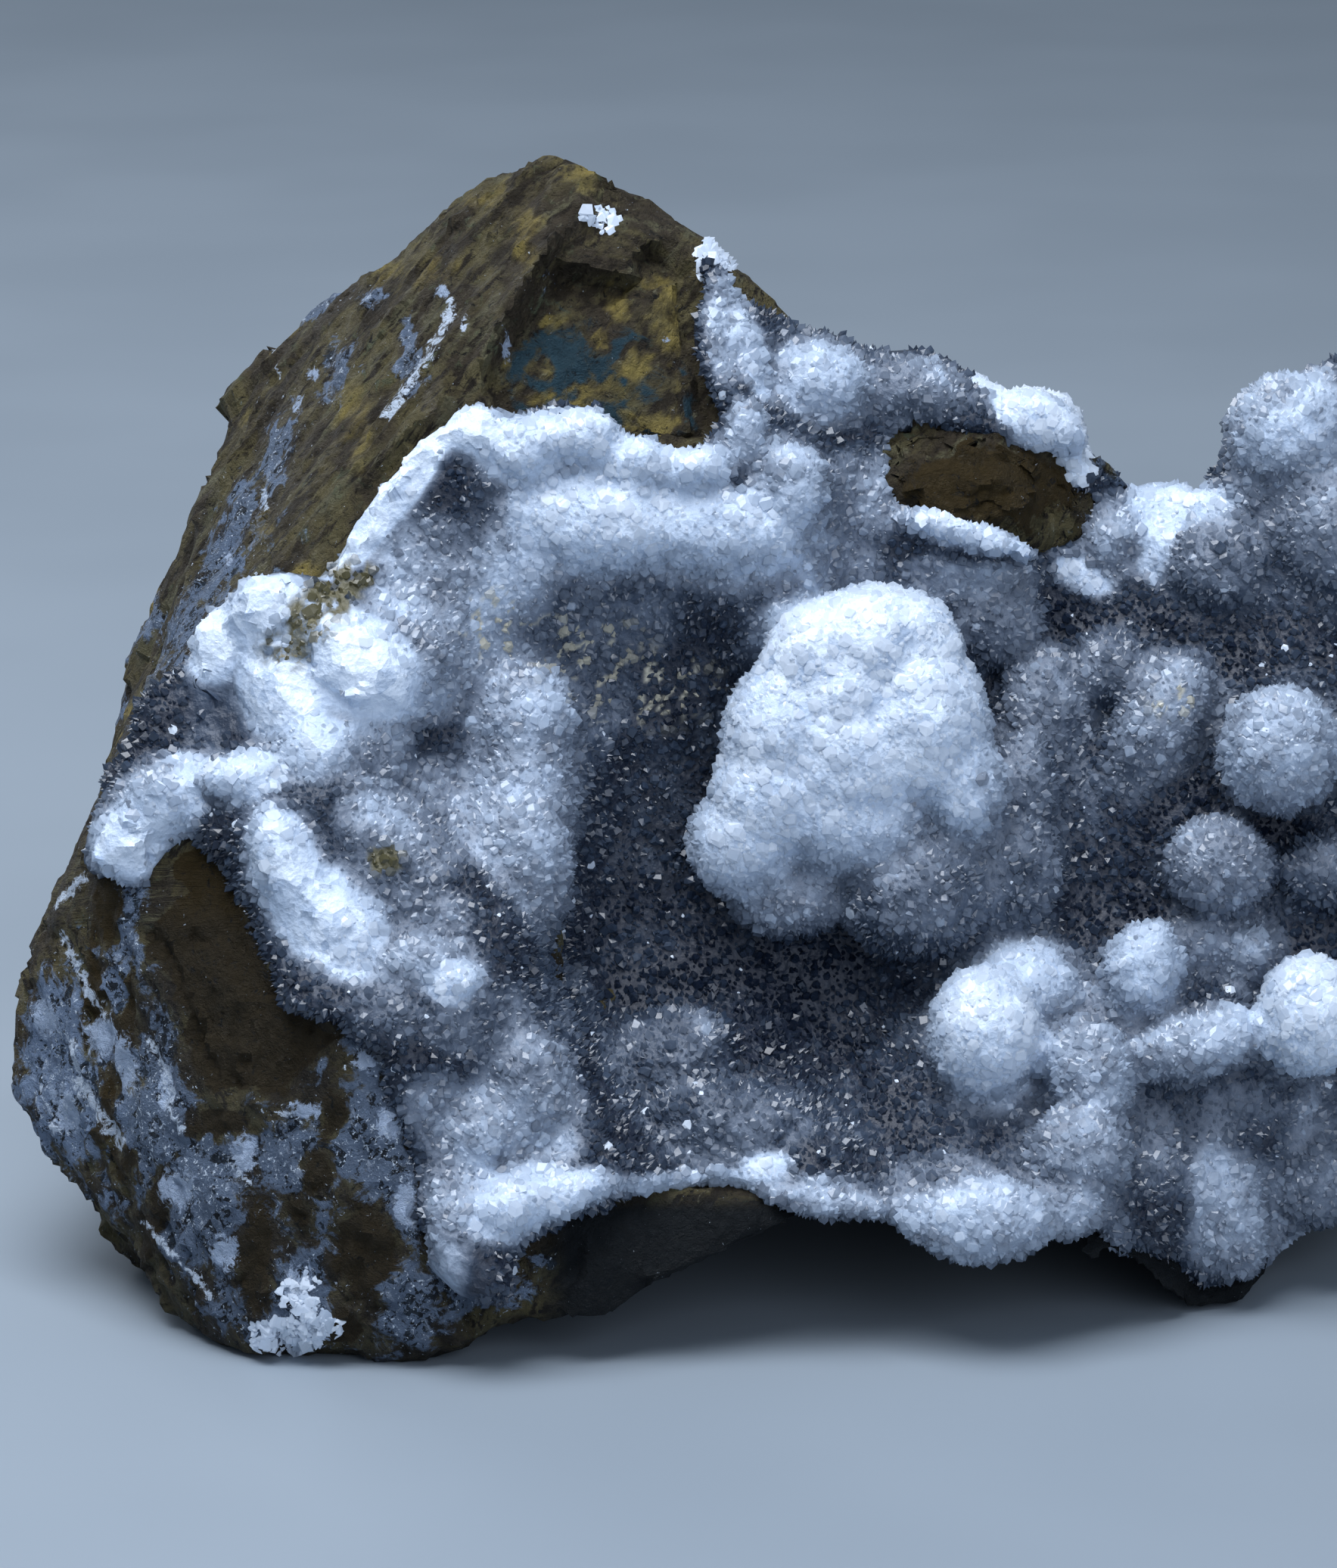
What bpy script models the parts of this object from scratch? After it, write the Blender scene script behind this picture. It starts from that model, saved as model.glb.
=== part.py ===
"""Druzy quartz: a rough block of banded brown host rock whose hollow is lined with a druse.

The host rock is one solid. The druse is one crust of quartz points, swollen into knobs and
lumps, that lies on the rock with a hair of air between the two meshes.

The shapes are laid out in the face frame, in millimetres: x runs across the druse, z up it,
and y is depth, away from whoever looks at it. The face leans back, so the frame is tilted
about X before the block is set down on its three feet.
"""

import math

import bmesh
import bpy
import numpy as np
from mathutils import Matrix, Vector, noise

MM = 0.001
LEAN = math.radians(15.0)  # how far the face frame tips back from upright
GROUND = -42.9  # height of the table under the origin of the face frame, mm
STANDPOINT = Vector((10.3, 12.6, GROUND))  # the middle of the footprint, mm

ROCK_GRAIN = 1.0  # voxel of the rock while it is being shaped, mm
CRUST_GRAIN = 0.8  # voxel of the druse while its lumps are being fused, mm
ROCK_FACES = 3400
CRUST_FACES = 5100
CRUST_THICKNESS = 2.2  # mm of quartz over the rock between the lumps
AIR_GAP = 0.3  # mm between the druse and its rock
CUTTER_SLACK = 0.15  # mm that thinning out the cutter may cost
CUTTER_FACES = 3600
POINT_HEIGHT = 0.9  # mm that a typical coarse quartz point stands out

# Corners of the blocks that the broken rock is made of, in the face frame: across, depth, up.
PEAK_BLOCK = (
    (-8, 7, 50.2), (-10, 13, 53.8), (-15, 16, 53.2), (-22, 22, 47.5), (-29.5, 28, 42.8),
    (-33, 30, 38), (-37, 32, 31), (-40, 33, 21), (-46, 34, 8), (-17, -1.5, 31),
    (-28, -4.5, 16), (-43, -1.5, 3), (0, -2, 27.5), (6, 0, 28), (3, 5, 43.5), (-7, 12, 53.4),
    (4, 13, 46), (13, 12, 37.5), (14, 40, 24), (-12, 44, 34), (-38, 46, 14), (-30, 52, -20),
    (16, 50, -18), (10, 4, 20), (-20, 0, -5),
)
LEDGE_BLOCK = (
    (-26, 24, 43), (-28.5, 26, 44.6), (-31.5, 29, 43.2), (-35.5, 31, 38), (-38, 33, 32),
    (-40.5, 34, 24), (-34, 24, 32), (-37, 26, 22), (-28, 34, 36), (-34, 42, 20),
)
FOOT_BLOCK = (
    (-45, -1, 4), (-30, -8, 2), (-41, -6, -5), (-47.5, 2, -5), (-49.5, 1, -11.5),
    (-53.5, 7, -13.5), (-55.2, 9, -21), (-54.2, 9, -28), (-48, 5, -36.5), (-41.5, 0, -44),
    (-39.3, -10, -28.3), (-37.5, -11, -35), (-34, -10, -47.5), (-30, -14, -18),
    (-20, -15.5, -24), (-14, -15, -37), (-12, -12, -43), (-22, -11, -49.5), (-31, -11, -49.5),
    (-46, 38, 6), (-50, 36, -20), (-42, 30, -42), (-10, 34, -42), (-4, 20, 0), (-10, -8, -5),
)
BOWL_BLOCK = (
    (-22, -12, -20), (-14, -13, -43), (2, -12, -39), (20, -11, -42), (34, -8, -41),
    (46, 4, -48), (54, 6, -42), (-10, -6, 26), (8, 2, 30), (14, 9, 36), (24, 12, 34),
    (34, 12, 30), (44, 12, 24), (48, -4, -20), (46, 6, 22), (30, 0, 4), (10, 50, -36),
    (50, 46, -38), (50, 40, 6), (32, 36, 17), (4, 44, 22), (-18, 44, -42), (30, 0, 28),
)
RIGHT_BLOCK = (
    (42, 2, -36), (44, 10, -46), (58, 8, -38), (66, 12, -30), (72, 16, -16), (74, 18, 2),
    (72, 17, 18), (67, 14, 30), (60, 12, 35), (53, 12, 34), (46, 12, 22), (44, 0, -10),
    (62, 4, 0), (60, 3, 20), (30, 42, -36), (66, 40, -34), (72, 34, 6), (48, 38, 12),
    (30, 40, 12),
)

# Depth of the rock under the druse at places read off the specimen: across, up, depth.
SOUNDINGS = (
    (-17, 31, -1), (-4, 29.5, -1), (5, 27, 0), (12, 33, 8), (22, 34, 12), (33, 30, 13),
    (42, 24, 14), (-2, 21, 1), (-10, 20, 0), (6, 20, 2), (-3, 11, 7), (-1, -4, 9), (1, -16, 9),
    (13, -16, 8), (12, 2, 8), (20, 18, 8), (-13, 0, 0), (-22, 22, -1), (-28, 9, -5),
    (-40, 6, -1), (-42, -2, -3), (-33, -4, -9), (-20, -10, -9), (-22, -22, -14),
    (-13, -26, -8), (-15, -38, -15), (3, -24, 0), (6, -33, -9), (-6, -34, -12),
    (24, -35, -9), (24, -26, 0), (33, -6, 8), (27, -15, 4), (38, -23, 1), (45, -29, 1),
    (45, -42, 4), (36, -36, -5), (45, -7, 7), (51, 2, 8), (39, 11, 11), (33, 16, 14),
    (26, 24, 4), (51, 24, 9), (60, 28, 9), (68, 14, 14), (72, -4, 16), (66, -26, 12),
    (56, -36, 8), (60, 0, 6), (58, -16, 5),
)
SOUNDING_REACH = 4.2  # mm over which one depth blends into the next

# Where the druse ends, going round it: across, up.
CRUST_EDGE = (
    (-17.5, 31), (-21, 26), (-26, 20.5), (-28.5, 17), (-32, 17.5), (-37, 14.5), (-40, 10),
    (-43.5, 7), (-45, 2), (-47, -2), (-48, -6), (-43, -10), (-41.5, -6), (-39, -4),
    (-36, -6.5), (-34, -13), (-31, -18), (-26, -20), (-23, -23), (-21.5, -30),
    (-20, -35), (-19, -39.5), (-15.5, -42), (-12.5, -41), (-12, -37), (-7, -34.5),
    (-2, -33.2), (6, -33.0), (12, -34.2), (20, -36), (26, -38.6), (33, -36.4), (39, -39),
    (45, -42.8), (51, -39), (57, -36), (66, -31), (72, -17), (75, 0), (73, 17), (68, 30),
    (60, 36), (53, 35), (48, 29), (45, 25), (38, 25.5), (34, 30), (27, 34), (22, 36),
    (16, 37), (11, 38), (6, 41), (3, 43.5), (2.5, 36), (4.5, 29.5), (1, 27), (-3, 28),
    (-6, 31), (-10, 31), (-15, 30),
)
ROCK_WINDOW = (
    (18.5, 28), (21, 30), (26, 29), (32, 27), (35.5, 24), (34.5, 21), (30, 20), (23, 21.5),
    (19, 24),
)

# Lumps and knobs of the druse: across, up, half width, half height, how far proud, turn.
WHITE_BOSS = (
    (16.7, 11.4, 7.6, 5.2, 13.0, 5), (10.6, 10.0, 4.6, 5.6, 12.0, -25),
    (9.6, 4.0, 5.4, 7.2, 13.2, -15), (20.6, 5.0, 6.0, 7.4, 13.8, 0),
    (14.6, 2.0, 7.2, 7.2, 13.6, 0), (5.8, -4.4, 4.7, 5.0, 12.2, -20),
    (14.8, -3.0, 6.8, 4.8, 12.2, 0), (24.4, 0.0, 3.6, 4.8, 12.0, 15),
    (23.0, 11.0, 3.4, 3.8, 11.5, 0),
)
GREY_SKIRT = (
    (10.0, -9.2, 5.2, 3.8, 9.0, 0), (20.6, -9.0, 6.6, 5.6, 9.0, 10),
    (28.4, -7.0, 4.6, 6.0, 7.4, 0), (31.4, 5.6, 4.0, 6.2, 6.0, 0),
    (27.6, 13.8, 4.0, 4.2, 6.0, 0), (29.4, 0.2, 3.2, 4.2, 7.0, 0),
)
KNOBS = (
    (41.0, 5.4, 3.9, 6.6, 7.5, -28), (37.0, 9.6, 3.0, 3.2, 5.6, 0),
    (50.6, 2.8, 5.2, 5.5, 11.5, 0), (45.7, -6.8, 4.6, 4.3, 9.0, 0),
    (54.2, -7.4, 3.4, 3.4, 6.0, 0), (52.9, -19.0, 4.6, 5.2, 12.0, 0),
    (39.2, -15.2, 3.5, 4.3, 7.0, -20), (44.3, -13.2, 2.7, 2.7, 5.5, 0),
    (48.3, -14.2, 2.7, 2.9, 5.5, 0), (26.0, -20.4, 4.8, 5.6, 10.0, 0),
    (29.6, -17.0, 4.6, 4.2, 6.5, 0), (34.6, -24.0, 3.8, 5.2, 8.0, 10),
    (33.6, -30.0, 4.6, 3.8, 7.0, 0), (40.4, -22.8, 4.0, 3.1, 9.0, 15),
    (45.0, -20.6, 3.3, 3.1, 9.0, 0), (45.6, -34.4, 3.4, 7.2, 4.0, 18),
    (53.4, -31.0, 4.2, 6.2, 6.0, 10), (60.0, 3.5, 4.6, 4.4, 8.5, 0),
    (63.5, -7.5, 4.2, 4.8, 8.0, 0), (60.5, -17.0, 3.9, 3.7, 8.0, 0),
    (62.5, -26.0, 4.4, 4.0, 6.0, 0), (68.5, 5.0, 3.6, 5.0, 5.5, 0),
)
MOUNDS = (
    (-12.0, 5.0, 4.8, 5.6, 4.6, 0), (-12.6, -6.0, 5.2, 7.4, 4.8, 0),
    (-5.2, 21.6, 8.0, 4.4, 4.6, 0), (4.8, 21.0, 7.2, 4.2, 4.4, 0),
    (10.0, 24.6, 3.6, 3.8, 4.6, 0), (12.3, 33.4, 4.6, 3.4, 4.4, 0),
    (19.8, 33.0, 5.4, 3.0, 4.2, -5), (0.0, -24.0, 6.8, 5.4, 5.0, 20),
    (5.4, -28.4, 7.6, 4.2, 4.6, -8), (-11.4, -24.6, 3.8, 5.2, 5.0, 10),
    (-15.4, -28.6, 4.6, 4.2, 4.6, 0), (25.4, -35.4, 6.6, 3.6, 6.0, 0),
    (32.6, -34.4, 3.4, 2.8, 4.6, 0), (52.0, 29.4, 5.4, 5.2, 5.0, 0),
    (56.0, 21.4, 6.4, 6.4, 5.6, 0), (47.0, 18.4, 5.2, 4.4, 5.0, 0),
    (64.0, 25.4, 5.6, 6.0, 5.0, 0), (65.0, 14.5, 5.4, 5.4, 5.0, 0),
)
SHORE = (
    (-16.0, 29.4, 2.6, 2.0, 3.4, 0), (-12.0, 27.6, 3.6, 2.6, 3.8, 10),
    (-7.0, 28.6, 3.2, 2.4, 3.8, 0), (-2.6, 26.4, 2.8, 2.4, 3.8, 0),
    (2.2, 26.0, 3.4, 2.0, 3.8, 10), (6.2, 28.8, 1.8, 3.4, 3.6, -15),
    (-22.6, 22.6, 4.8, 1.8, 3.4, 52), (-33.0, 14.6, 3.2, 2.8, 3.4, 0),
    (-37.0, 11.4, 2.6, 3.0, 3.2, 0), (-25.4, 9.6, 5.6, 3.4, 4.4, -30),
    (-31.6, 7.4, 3.0, 4.0, 4.0, 20), (-28.6, 2.6, 3.6, 2.8, 4.0, 0),
    (-40.6, -1.0, 4.4, 3.0, 4.2, 20), (-44.6, -5.4, 3.0, 2.8, 3.6, 0),
    (-34.4, 0.4, 3.8, 2.2, 3.8, 0), (-31.0, -7.0, 2.6, 5.0, 4.4, 20),
    (-26.6, -12.0, 3.6, 5.0, 4.6, 35), (-20.6, -14.6, 4.2, 2.6, 4.2, 10),
    (-17.4, -16.0, 2.4, 1.8, 4.0, 0), (-8.6, -33.4, 3.8, 1.8, 3.4, 15),
    (32.6, 30.6, 4.8, 3.4, 4.4, -30), (27.6, 19.4, 5.4, 1.8, 4.2, -5),
    (37.4, 20.6, 3.0, 3.4, 4.4, 0), (41.4, 19.4, 2.4, 3.0, 4.4, 0),
    (6.6, 35.0, 1.6, 5.0, 3.0, 10), (12.5, -34.0, 5.5, 1.4, 3.0, -8),
)
BACK_TUFT = (33.5, 18.0, 32.0, 5.2, 4.4)  # a white tuft just over the far edge: place and size

# Height of the underside above the table, front to back: across, depth, half width, half
# depth, height. The feet are what these hollows leave.
UNDERSIDE = (
    (14, -10, 26, 26, 13.0), (30, 0, 14, 30, 13.0), (-6, -4, 16, 14, 7.0),
    (62, 4, 15, 22, 11.0), (0, 62, 26, 14, 9.0), (-58, 20, 12, 24, 12.0), (76, 44, 18, 22, 12.0),
)


def clear_scene():
    for obj in list(bpy.data.objects):
        bpy.data.objects.remove(obj)


def link(name, mesh):
    obj = bpy.data.objects.new(name, mesh)
    bpy.context.scene.collection.objects.link(obj)
    return obj


def coordinates(mesh):
    points = np.empty(len(mesh.vertices) * 3, np.float32)
    mesh.vertices.foreach_get("co", points)
    return points.reshape(-1, 3).astype(float)


def set_coordinates(mesh, points):
    mesh.vertices.foreach_set("co", points.astype(np.float32).ravel())
    mesh.update()


def normals(mesh):
    found = np.empty(len(mesh.vertices) * 3, np.float32)
    mesh.vertices.foreach_get("normal", found)
    return found.reshape(-1, 3).astype(float)


def base_depth(x, z):
    """Depth of the rock surface under the druse, blended from the soundings."""
    spots = np.array(SOUNDINGS, float)
    squared = (x[:, None] - spots[:, 0]) ** 2 + (z[:, None] - spots[:, 1]) ** 2
    nearest = squared.min(1, keepdims=True)
    weight = np.exp((nearest - squared) / (2.0 * SOUNDING_REACH**2))
    return (weight * spots[:, 2]).sum(1) / weight.sum(1)


def inside_distance(ring, x, z):
    """Distance to a closed ring of points, positive inside it."""
    start = np.array(ring, float)
    end = np.roll(start, -1, axis=0)
    run = end - start
    px, pz = x[:, None] - start[:, 0], z[:, None] - start[:, 1]
    share = np.clip((px * run[:, 0] + pz * run[:, 1]) / (run**2).sum(1), 0.0, 1.0)
    away = np.hypot(px - share * run[:, 0], pz - share * run[:, 1]).min(1)
    spans = (start[:, 1] > z[:, None]) != (end[:, 1] > z[:, None])
    crossing = start[:, 0] + run[:, 0] * (z[:, None] - start[:, 1]) / np.where(
        run[:, 1] == 0, 1e-9, run[:, 1]
    )
    odd = (spans & (x[:, None] < crossing)).sum(1) % 2 == 1
    return np.where(odd, away, -away)


def noise_at(points, size, octaves=3, seed=0.0):
    """Fractal noise from about -1 to 1, with blobs of the given size in mm."""
    offset = Vector((seed, -seed, 2.0 * seed))
    return np.array(
        [noise.fractal(Vector(p) / size + offset, 1.0, 2.0, octaves) for p in points]
    )


def ragged_cover(x, z):
    """How far inside the druse a place is, in mm, with a broken, uneven edge."""
    cover = np.minimum(inside_distance(CRUST_EDGE, x, z), -inside_distance(ROCK_WINDOW, x, z))
    flat = np.stack([x, np.zeros_like(x), z], axis=1)
    return cover + 0.9 * noise_at(flat, 3.0, seed=3.0)


def convex_block(name, corners):
    mesh = bpy.data.meshes.new(name)
    bm = bmesh.new()
    for corner in corners:
        bm.verts.new(corner)
    hull = bmesh.ops.convex_hull(bm, input=bm.verts)
    inner = {v for v in hull["geom_interior"] if isinstance(v, bmesh.types.BMVert)}
    bmesh.ops.delete(bm, geom=list(inner), context="VERTS")
    bm.to_mesh(mesh)
    bm.free()
    return link(name, mesh)


def ellipsoid(name, centre, radii, turn=0.0, detail=3):
    """A ball stretched to its three radii and turned in the plane of the face."""
    mesh = bpy.data.meshes.new(name)
    bm = bmesh.new()
    shape = Matrix.Translation(centre) @ Matrix.Rotation(-math.radians(turn), 4, "Y")
    shape @= Matrix.Diagonal((*radii, 1.0))
    bmesh.ops.create_icosphere(bm, subdivisions=detail, radius=1.0, matrix=shape)
    bm.to_mesh(mesh)
    bm.free()
    return link(name, mesh)


def joined(name, objects):
    """One object from several, which are removed."""
    bm = bmesh.new()
    for obj in objects:
        bm.from_mesh(obj.data)
        bpy.data.objects.remove(obj)
    mesh = bpy.data.meshes.new(name)
    bm.to_mesh(mesh)
    bm.free()
    return link(name, mesh)


def apply_modifiers(obj):
    """Replaces an object's mesh by the one its modifiers make."""
    graph = bpy.context.evaluated_depsgraph_get()
    made = bpy.data.meshes.new_from_object(obj.evaluated_get(graph))
    obj.modifiers.clear()
    obj.data = made
    return obj


def fuse(obj, voxel):
    """Melts overlapping bodies into one skin of even faces."""
    remesh = obj.modifiers.new("fuse", "REMESH")
    remesh.mode = "VOXEL"
    remesh.voxel_size = voxel
    return apply_modifiers(obj)


def soften(obj, rounds, strength=0.5):
    smooth = obj.modifiers.new("soften", "SMOOTH")
    smooth.iterations = rounds
    smooth.factor = strength
    return apply_modifiers(obj)


def thin_out(obj, faces):
    decimate = obj.modifiers.new("thin out", "DECIMATE")
    decimate.ratio = faces / sum(len(p.vertices) - 2 for p in obj.data.polygons)
    return apply_modifiers(obj)


def keep_largest(obj):
    """Drops every loose crumb but the largest body."""
    bm = bmesh.new()
    bm.from_mesh(obj.data)
    left, bodies = set(bm.verts), []
    while left:
        body, todo = set(), [left.pop()]
        while todo:
            vert = todo.pop()
            body.add(vert)
            for edge in vert.link_edges:
                other = edge.other_vert(vert)
                if other in left:
                    left.remove(other)
                    todo.append(other)
        bodies.append(body)
    bodies.sort(key=len)
    for crumb in bodies[:-1]:
        bmesh.ops.delete(bm, geom=list(crumb), context="VERTS")
    bm.to_mesh(obj.data)
    bm.free()
    return obj


def underside_height(x, y):
    """Height of the rock's underside above the table, in mm, in the upright frame."""
    height = np.zeros_like(x)
    for across, depth, half_width, half_depth, rise in UNDERSIDE:
        squared = ((x - across) / half_width) ** 2 + ((y - depth) / half_depth) ** 2
        height = np.maximum(height, rise * (1.0 - squared))
    return height


def stand_up(mesh):
    """From the face frame to the upright one, with the table at height 0."""
    tilt = Matrix.Rotation(-LEAN, 4, "X")
    mesh.transform(Matrix.Translation(-STANDPOINT) @ tilt)
    return mesh


def press_front(obj):
    """Sinks the rock's front to the surface that the druse grew on, wherever it is covered."""
    points = coordinates(obj.data)
    x, y, z = points.T
    seat = base_depth(x, z) + 0.4
    cover = ragged_cover(x, z)
    step = np.clip(cover / 1.5 + 0.6, 0.0, 1.0)
    front = y < seat
    points[:, 1] = np.where(front, y + (seat - y) * step, y)
    set_coordinates(obj.data, points)
    return obj


def press_underside(obj):
    """Raises the underside to its hollows and flattens the feet, in the upright frame."""
    points = coordinates(obj.data)
    x, y, z = points.T
    points[:, 2] = np.maximum(z, underside_height(x + STANDPOINT.x, y + STANDPOINT.y))
    set_coordinates(obj.data, points)
    return obj


def along_beds(points, direction, stretch):
    """Squeezes space along the beds, so that noise read there comes out as long ridges."""
    beds = np.array(Vector(direction).normalized())
    return points - np.outer(points @ beds, beds) * (1.0 - 1.0 / stretch)


def roughen(obj):
    """Broken, bedded rock: lumps, breaks at the back, and ridges along the dipping beds."""
    points = coordinates(obj.data)
    lumps = noise_at(points, 12.0, seed=1.0)
    upper = noise_at(along_beds(points, (0.61, 0.12, 0.78), 6.0), 4.5, seed=6.0)
    lower = noise_at(along_beds(points, (0.5, -0.2, -0.84), 6.0), 4.0, seed=7.0)
    breaks = noise_at(points, 30.0, octaves=1, seed=5.0)
    foot = np.clip((-6.0 - points[:, 2]) / 6.0, 0.0, 1.0)
    ridges = foot * lower + (1.0 - foot) * upper
    behind = np.clip((points[:, 1] - 16.0) / 15.0, 0.0, 1.0)
    push = (0.5 + 1.2 * behind) * lumps + (0.8 + 0.3 * behind) * ridges + 3.0 * behind * breaks
    set_coordinates(obj.data, points + normals(obj.data) * push[:, None])
    return obj


def host_rock():
    blocks = [
        convex_block("peak block", PEAK_BLOCK),
        convex_block("ledge block", LEDGE_BLOCK),
        convex_block("foot block", FOOT_BLOCK),
        convex_block("bowl block", BOWL_BLOCK),
        convex_block("right block", RIGHT_BLOCK),
    ]
    rock = fuse(joined("matrix_rock", blocks), ROCK_GRAIN)
    roughen(rock)
    fuse(press_front(rock), ROCK_GRAIN)
    stand_up(rock.data)
    fuse(press_underside(rock), ROCK_GRAIN)
    thin_out(rock, ROCK_FACES)
    points = coordinates(rock.data)
    points[points[:, 2] < 0.3, 2] = 0.0
    set_coordinates(rock.data, points)
    return keep_largest(rock)


def crust_sheet():
    """The plain druse between the lumps: a slab whose front stands off the rock."""
    low, high, spacing = Vector((-56, -50)), Vector((80, 48)), 1.0
    size = high - low
    place = Matrix.Translation((*((low + high) / 2), 0.0)) @ Matrix.Diagonal((*size, 1.0, 1.0))
    mesh = bpy.data.meshes.new("druse sheet")
    bm = bmesh.new()
    bmesh.ops.create_grid(
        bm, x_segments=round(size.x / spacing), y_segments=round(size.y / spacing),
        size=0.5, matrix=place,
    )
    spots = np.array([v.co for v in bm.verts])
    cover = ragged_cover(spots[:, 0], spots[:, 1])
    bare = [v for v, inside in zip(bm.verts, cover) if inside < -0.8]
    bmesh.ops.delete(bm, geom=bare, context="VERTS")
    loose = [v for v in bm.verts if not v.link_faces]
    bmesh.ops.delete(bm, geom=loose, context="VERTS")
    made = bmesh.ops.extrude_face_region(bm, geom=bm.faces[:], use_keep_orig=True)
    behind = {v for v in made["geom"] if isinstance(v, bmesh.types.BMVert)}
    spots = np.array([v.co for v in bm.verts])
    seat = base_depth(spots[:, 0], spots[:, 1])
    cover = ragged_cover(spots[:, 0], spots[:, 1])
    rise = np.clip(cover / 1.1, -0.6, 1.0) * CRUST_THICKNESS
    for vert, depth, out in zip(bm.verts, seat, rise):
        vert.co = (vert.co.x, depth + (4.5 if vert in behind else -out), vert.co.y)
    bmesh.ops.recalc_face_normals(bm, faces=bm.faces)
    bm.to_mesh(mesh)
    bm.free()
    return link("druse sheet", mesh)


def druse_lumps():
    lumps = []
    for across, up, half_width, half_height, proud, turn in (
        *WHITE_BOSS, *GREY_SKIRT, *KNOBS, *MOUNDS, *SHORE,
    ):
        deep = 1.05 * min(half_width, half_height)
        seat = base_depth(np.array([across]), np.array([up]))[0]
        centre = Vector((across, seat - proud + deep, up))
        lumps.append(ellipsoid("lump", centre, (half_width, deep, half_height), turn))
        if proud > 1.6 * deep:
            root = Vector((across, seat, up))
            radii = (0.8 * half_width, proud - deep, 0.8 * half_height)
            lumps.append(ellipsoid("stem", root, radii, turn))
    across, depth, up, half_width, half_height = BACK_TUFT
    radii = (half_width, half_height, half_height)
    lumps.append(ellipsoid("tuft", Vector((across, depth, up)), radii))
    return lumps


def grow_points(obj, rock_side):
    """Draws out every second vertex or so into a flat-sided quartz point."""
    bm = bmesh.new()
    bm.from_mesh(obj.data)
    bm.normal_update()
    rng = np.random.default_rng(7)
    order = rng.permutation(len(bm.verts))
    heights = POINT_HEIGHT * rng.uniform(0.6, 1.3, len(bm.verts))
    bm.verts.ensure_lookup_table()
    taken, tips = set(), []
    for index in order:
        vert = bm.verts[index]
        if index in taken or rock_side[index]:
            continue
        tips.append((vert, vert.co + vert.normal * heights[index]))
        taken.update(edge.other_vert(vert).index for edge in vert.link_edges)
        taken.add(index)
    for vert, tip in tips:
        vert.co = tip
    bm.to_mesh(obj.data)
    bm.free()
    return obj


def as_cutter(obj):
    obj.hide_render = True
    obj.display_type = "WIRE"
    return obj


def melted_cutter(obj, by):
    """A swollen copy of a solid, melted again so that it has no folds."""
    cutter = link("melted rock", obj.data.copy())
    fuse(cutter, 0.5 * ROCK_GRAIN)
    mesh = cutter.data
    set_coordinates(mesh, coordinates(mesh) + normals(mesh) * (by + CUTTER_SLACK))
    fuse(cutter, 0.5 * ROCK_GRAIN)
    thin_out(cutter, CUTTER_FACES)
    return as_cutter(cutter)


def close_cutter(obj, by):
    """A copy of a solid whose faces are all moved out by the same small distance."""
    bm = bmesh.new()
    bm.from_mesh(obj.data)
    bm.normal_update()
    pushes = [v.normal * by * min(v.calc_shell_factor(), 2.5) for v in bm.verts]
    for vert, push in zip(bm.verts, pushes):
        vert.co += push
    mesh = bpy.data.meshes.new("close rock")
    bm.to_mesh(mesh)
    bm.free()
    return as_cutter(link("close rock", mesh))


def cut_away(obj, cutter):
    boolean = obj.modifiers.new("seat on rock", "BOOLEAN")
    boolean.operation = "DIFFERENCE"
    boolean.solver = "EXACT"
    boolean.object = cutter
    return apply_modifiers(obj)


def druse(rock):
    """The quartz crust: sheet, lumps and knobs fused, pointed, and seated on the rock."""
    crust = fuse(joined("druzy_quartz", [crust_sheet(), *druse_lumps()]), CRUST_GRAIN)
    soften(crust, 2)
    thin_out(crust, CRUST_FACES)
    points = coordinates(crust.data)
    hidden = points[:, 1] > base_depth(points[:, 0], points[:, 2]) + 0.8
    grow_points(crust, hidden)
    stand_up(crust.data)
    points = coordinates(crust.data)
    points[:, 2] = np.maximum(points[:, 2], 0.5)
    set_coordinates(crust.data, points)
    for cutter in (melted_cutter(rock, AIR_GAP), close_cutter(rock, 0.5 * AIR_GAP)):
        cut_away(crust, cutter)
        bpy.data.objects.remove(cutter)
    return keep_largest(crust)


def bsdf(name, colour, roughness):
    """A plain stand-in finish for one solid."""
    finish = bpy.data.materials.new(name)
    finish.use_nodes = True
    shader = finish.node_tree.nodes["Principled BSDF"]
    shader.inputs["Base Color"].default_value = (*colour, 1.0)
    shader.inputs["Roughness"].default_value = roughness
    return finish


def main():
    clear_scene()
    rock = host_rock()
    crust = druse(rock)
    solids = bpy.data.collections.new("druzy_quartz_specimen")
    bpy.context.scene.collection.children.link(solids)
    finishes = (("matrix_rock", (0.16, 0.12, 0.06), 0.9), ("druzy_quartz", (0.62, 0.7, 0.8), 0.4))
    for obj, finish in zip((rock, crust), finishes):
        obj.data.transform(Matrix.Scale(MM, 4))
        obj.data.materials.clear()
        obj.data.materials.append(bsdf(*finish))
        bpy.context.scene.collection.objects.unlink(obj)
        solids.objects.link(obj)
    bpy.data.orphans_purge(do_recursive=True)


main()
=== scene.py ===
"""Druzy quartz: the looks of a hand specimen, a brown host rock lined with milky quartz points.

The shapes are laid out in the face frame, in millimetres: x runs across the druse, y is depth
away from whoever looks at it and z runs up the face. upright() brings them to the table.
"""

import math

import bmesh
import bpy
import numpy as np
from mathutils import Matrix, Vector, noise
from mathutils.bvhtree import BVHTree


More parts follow.
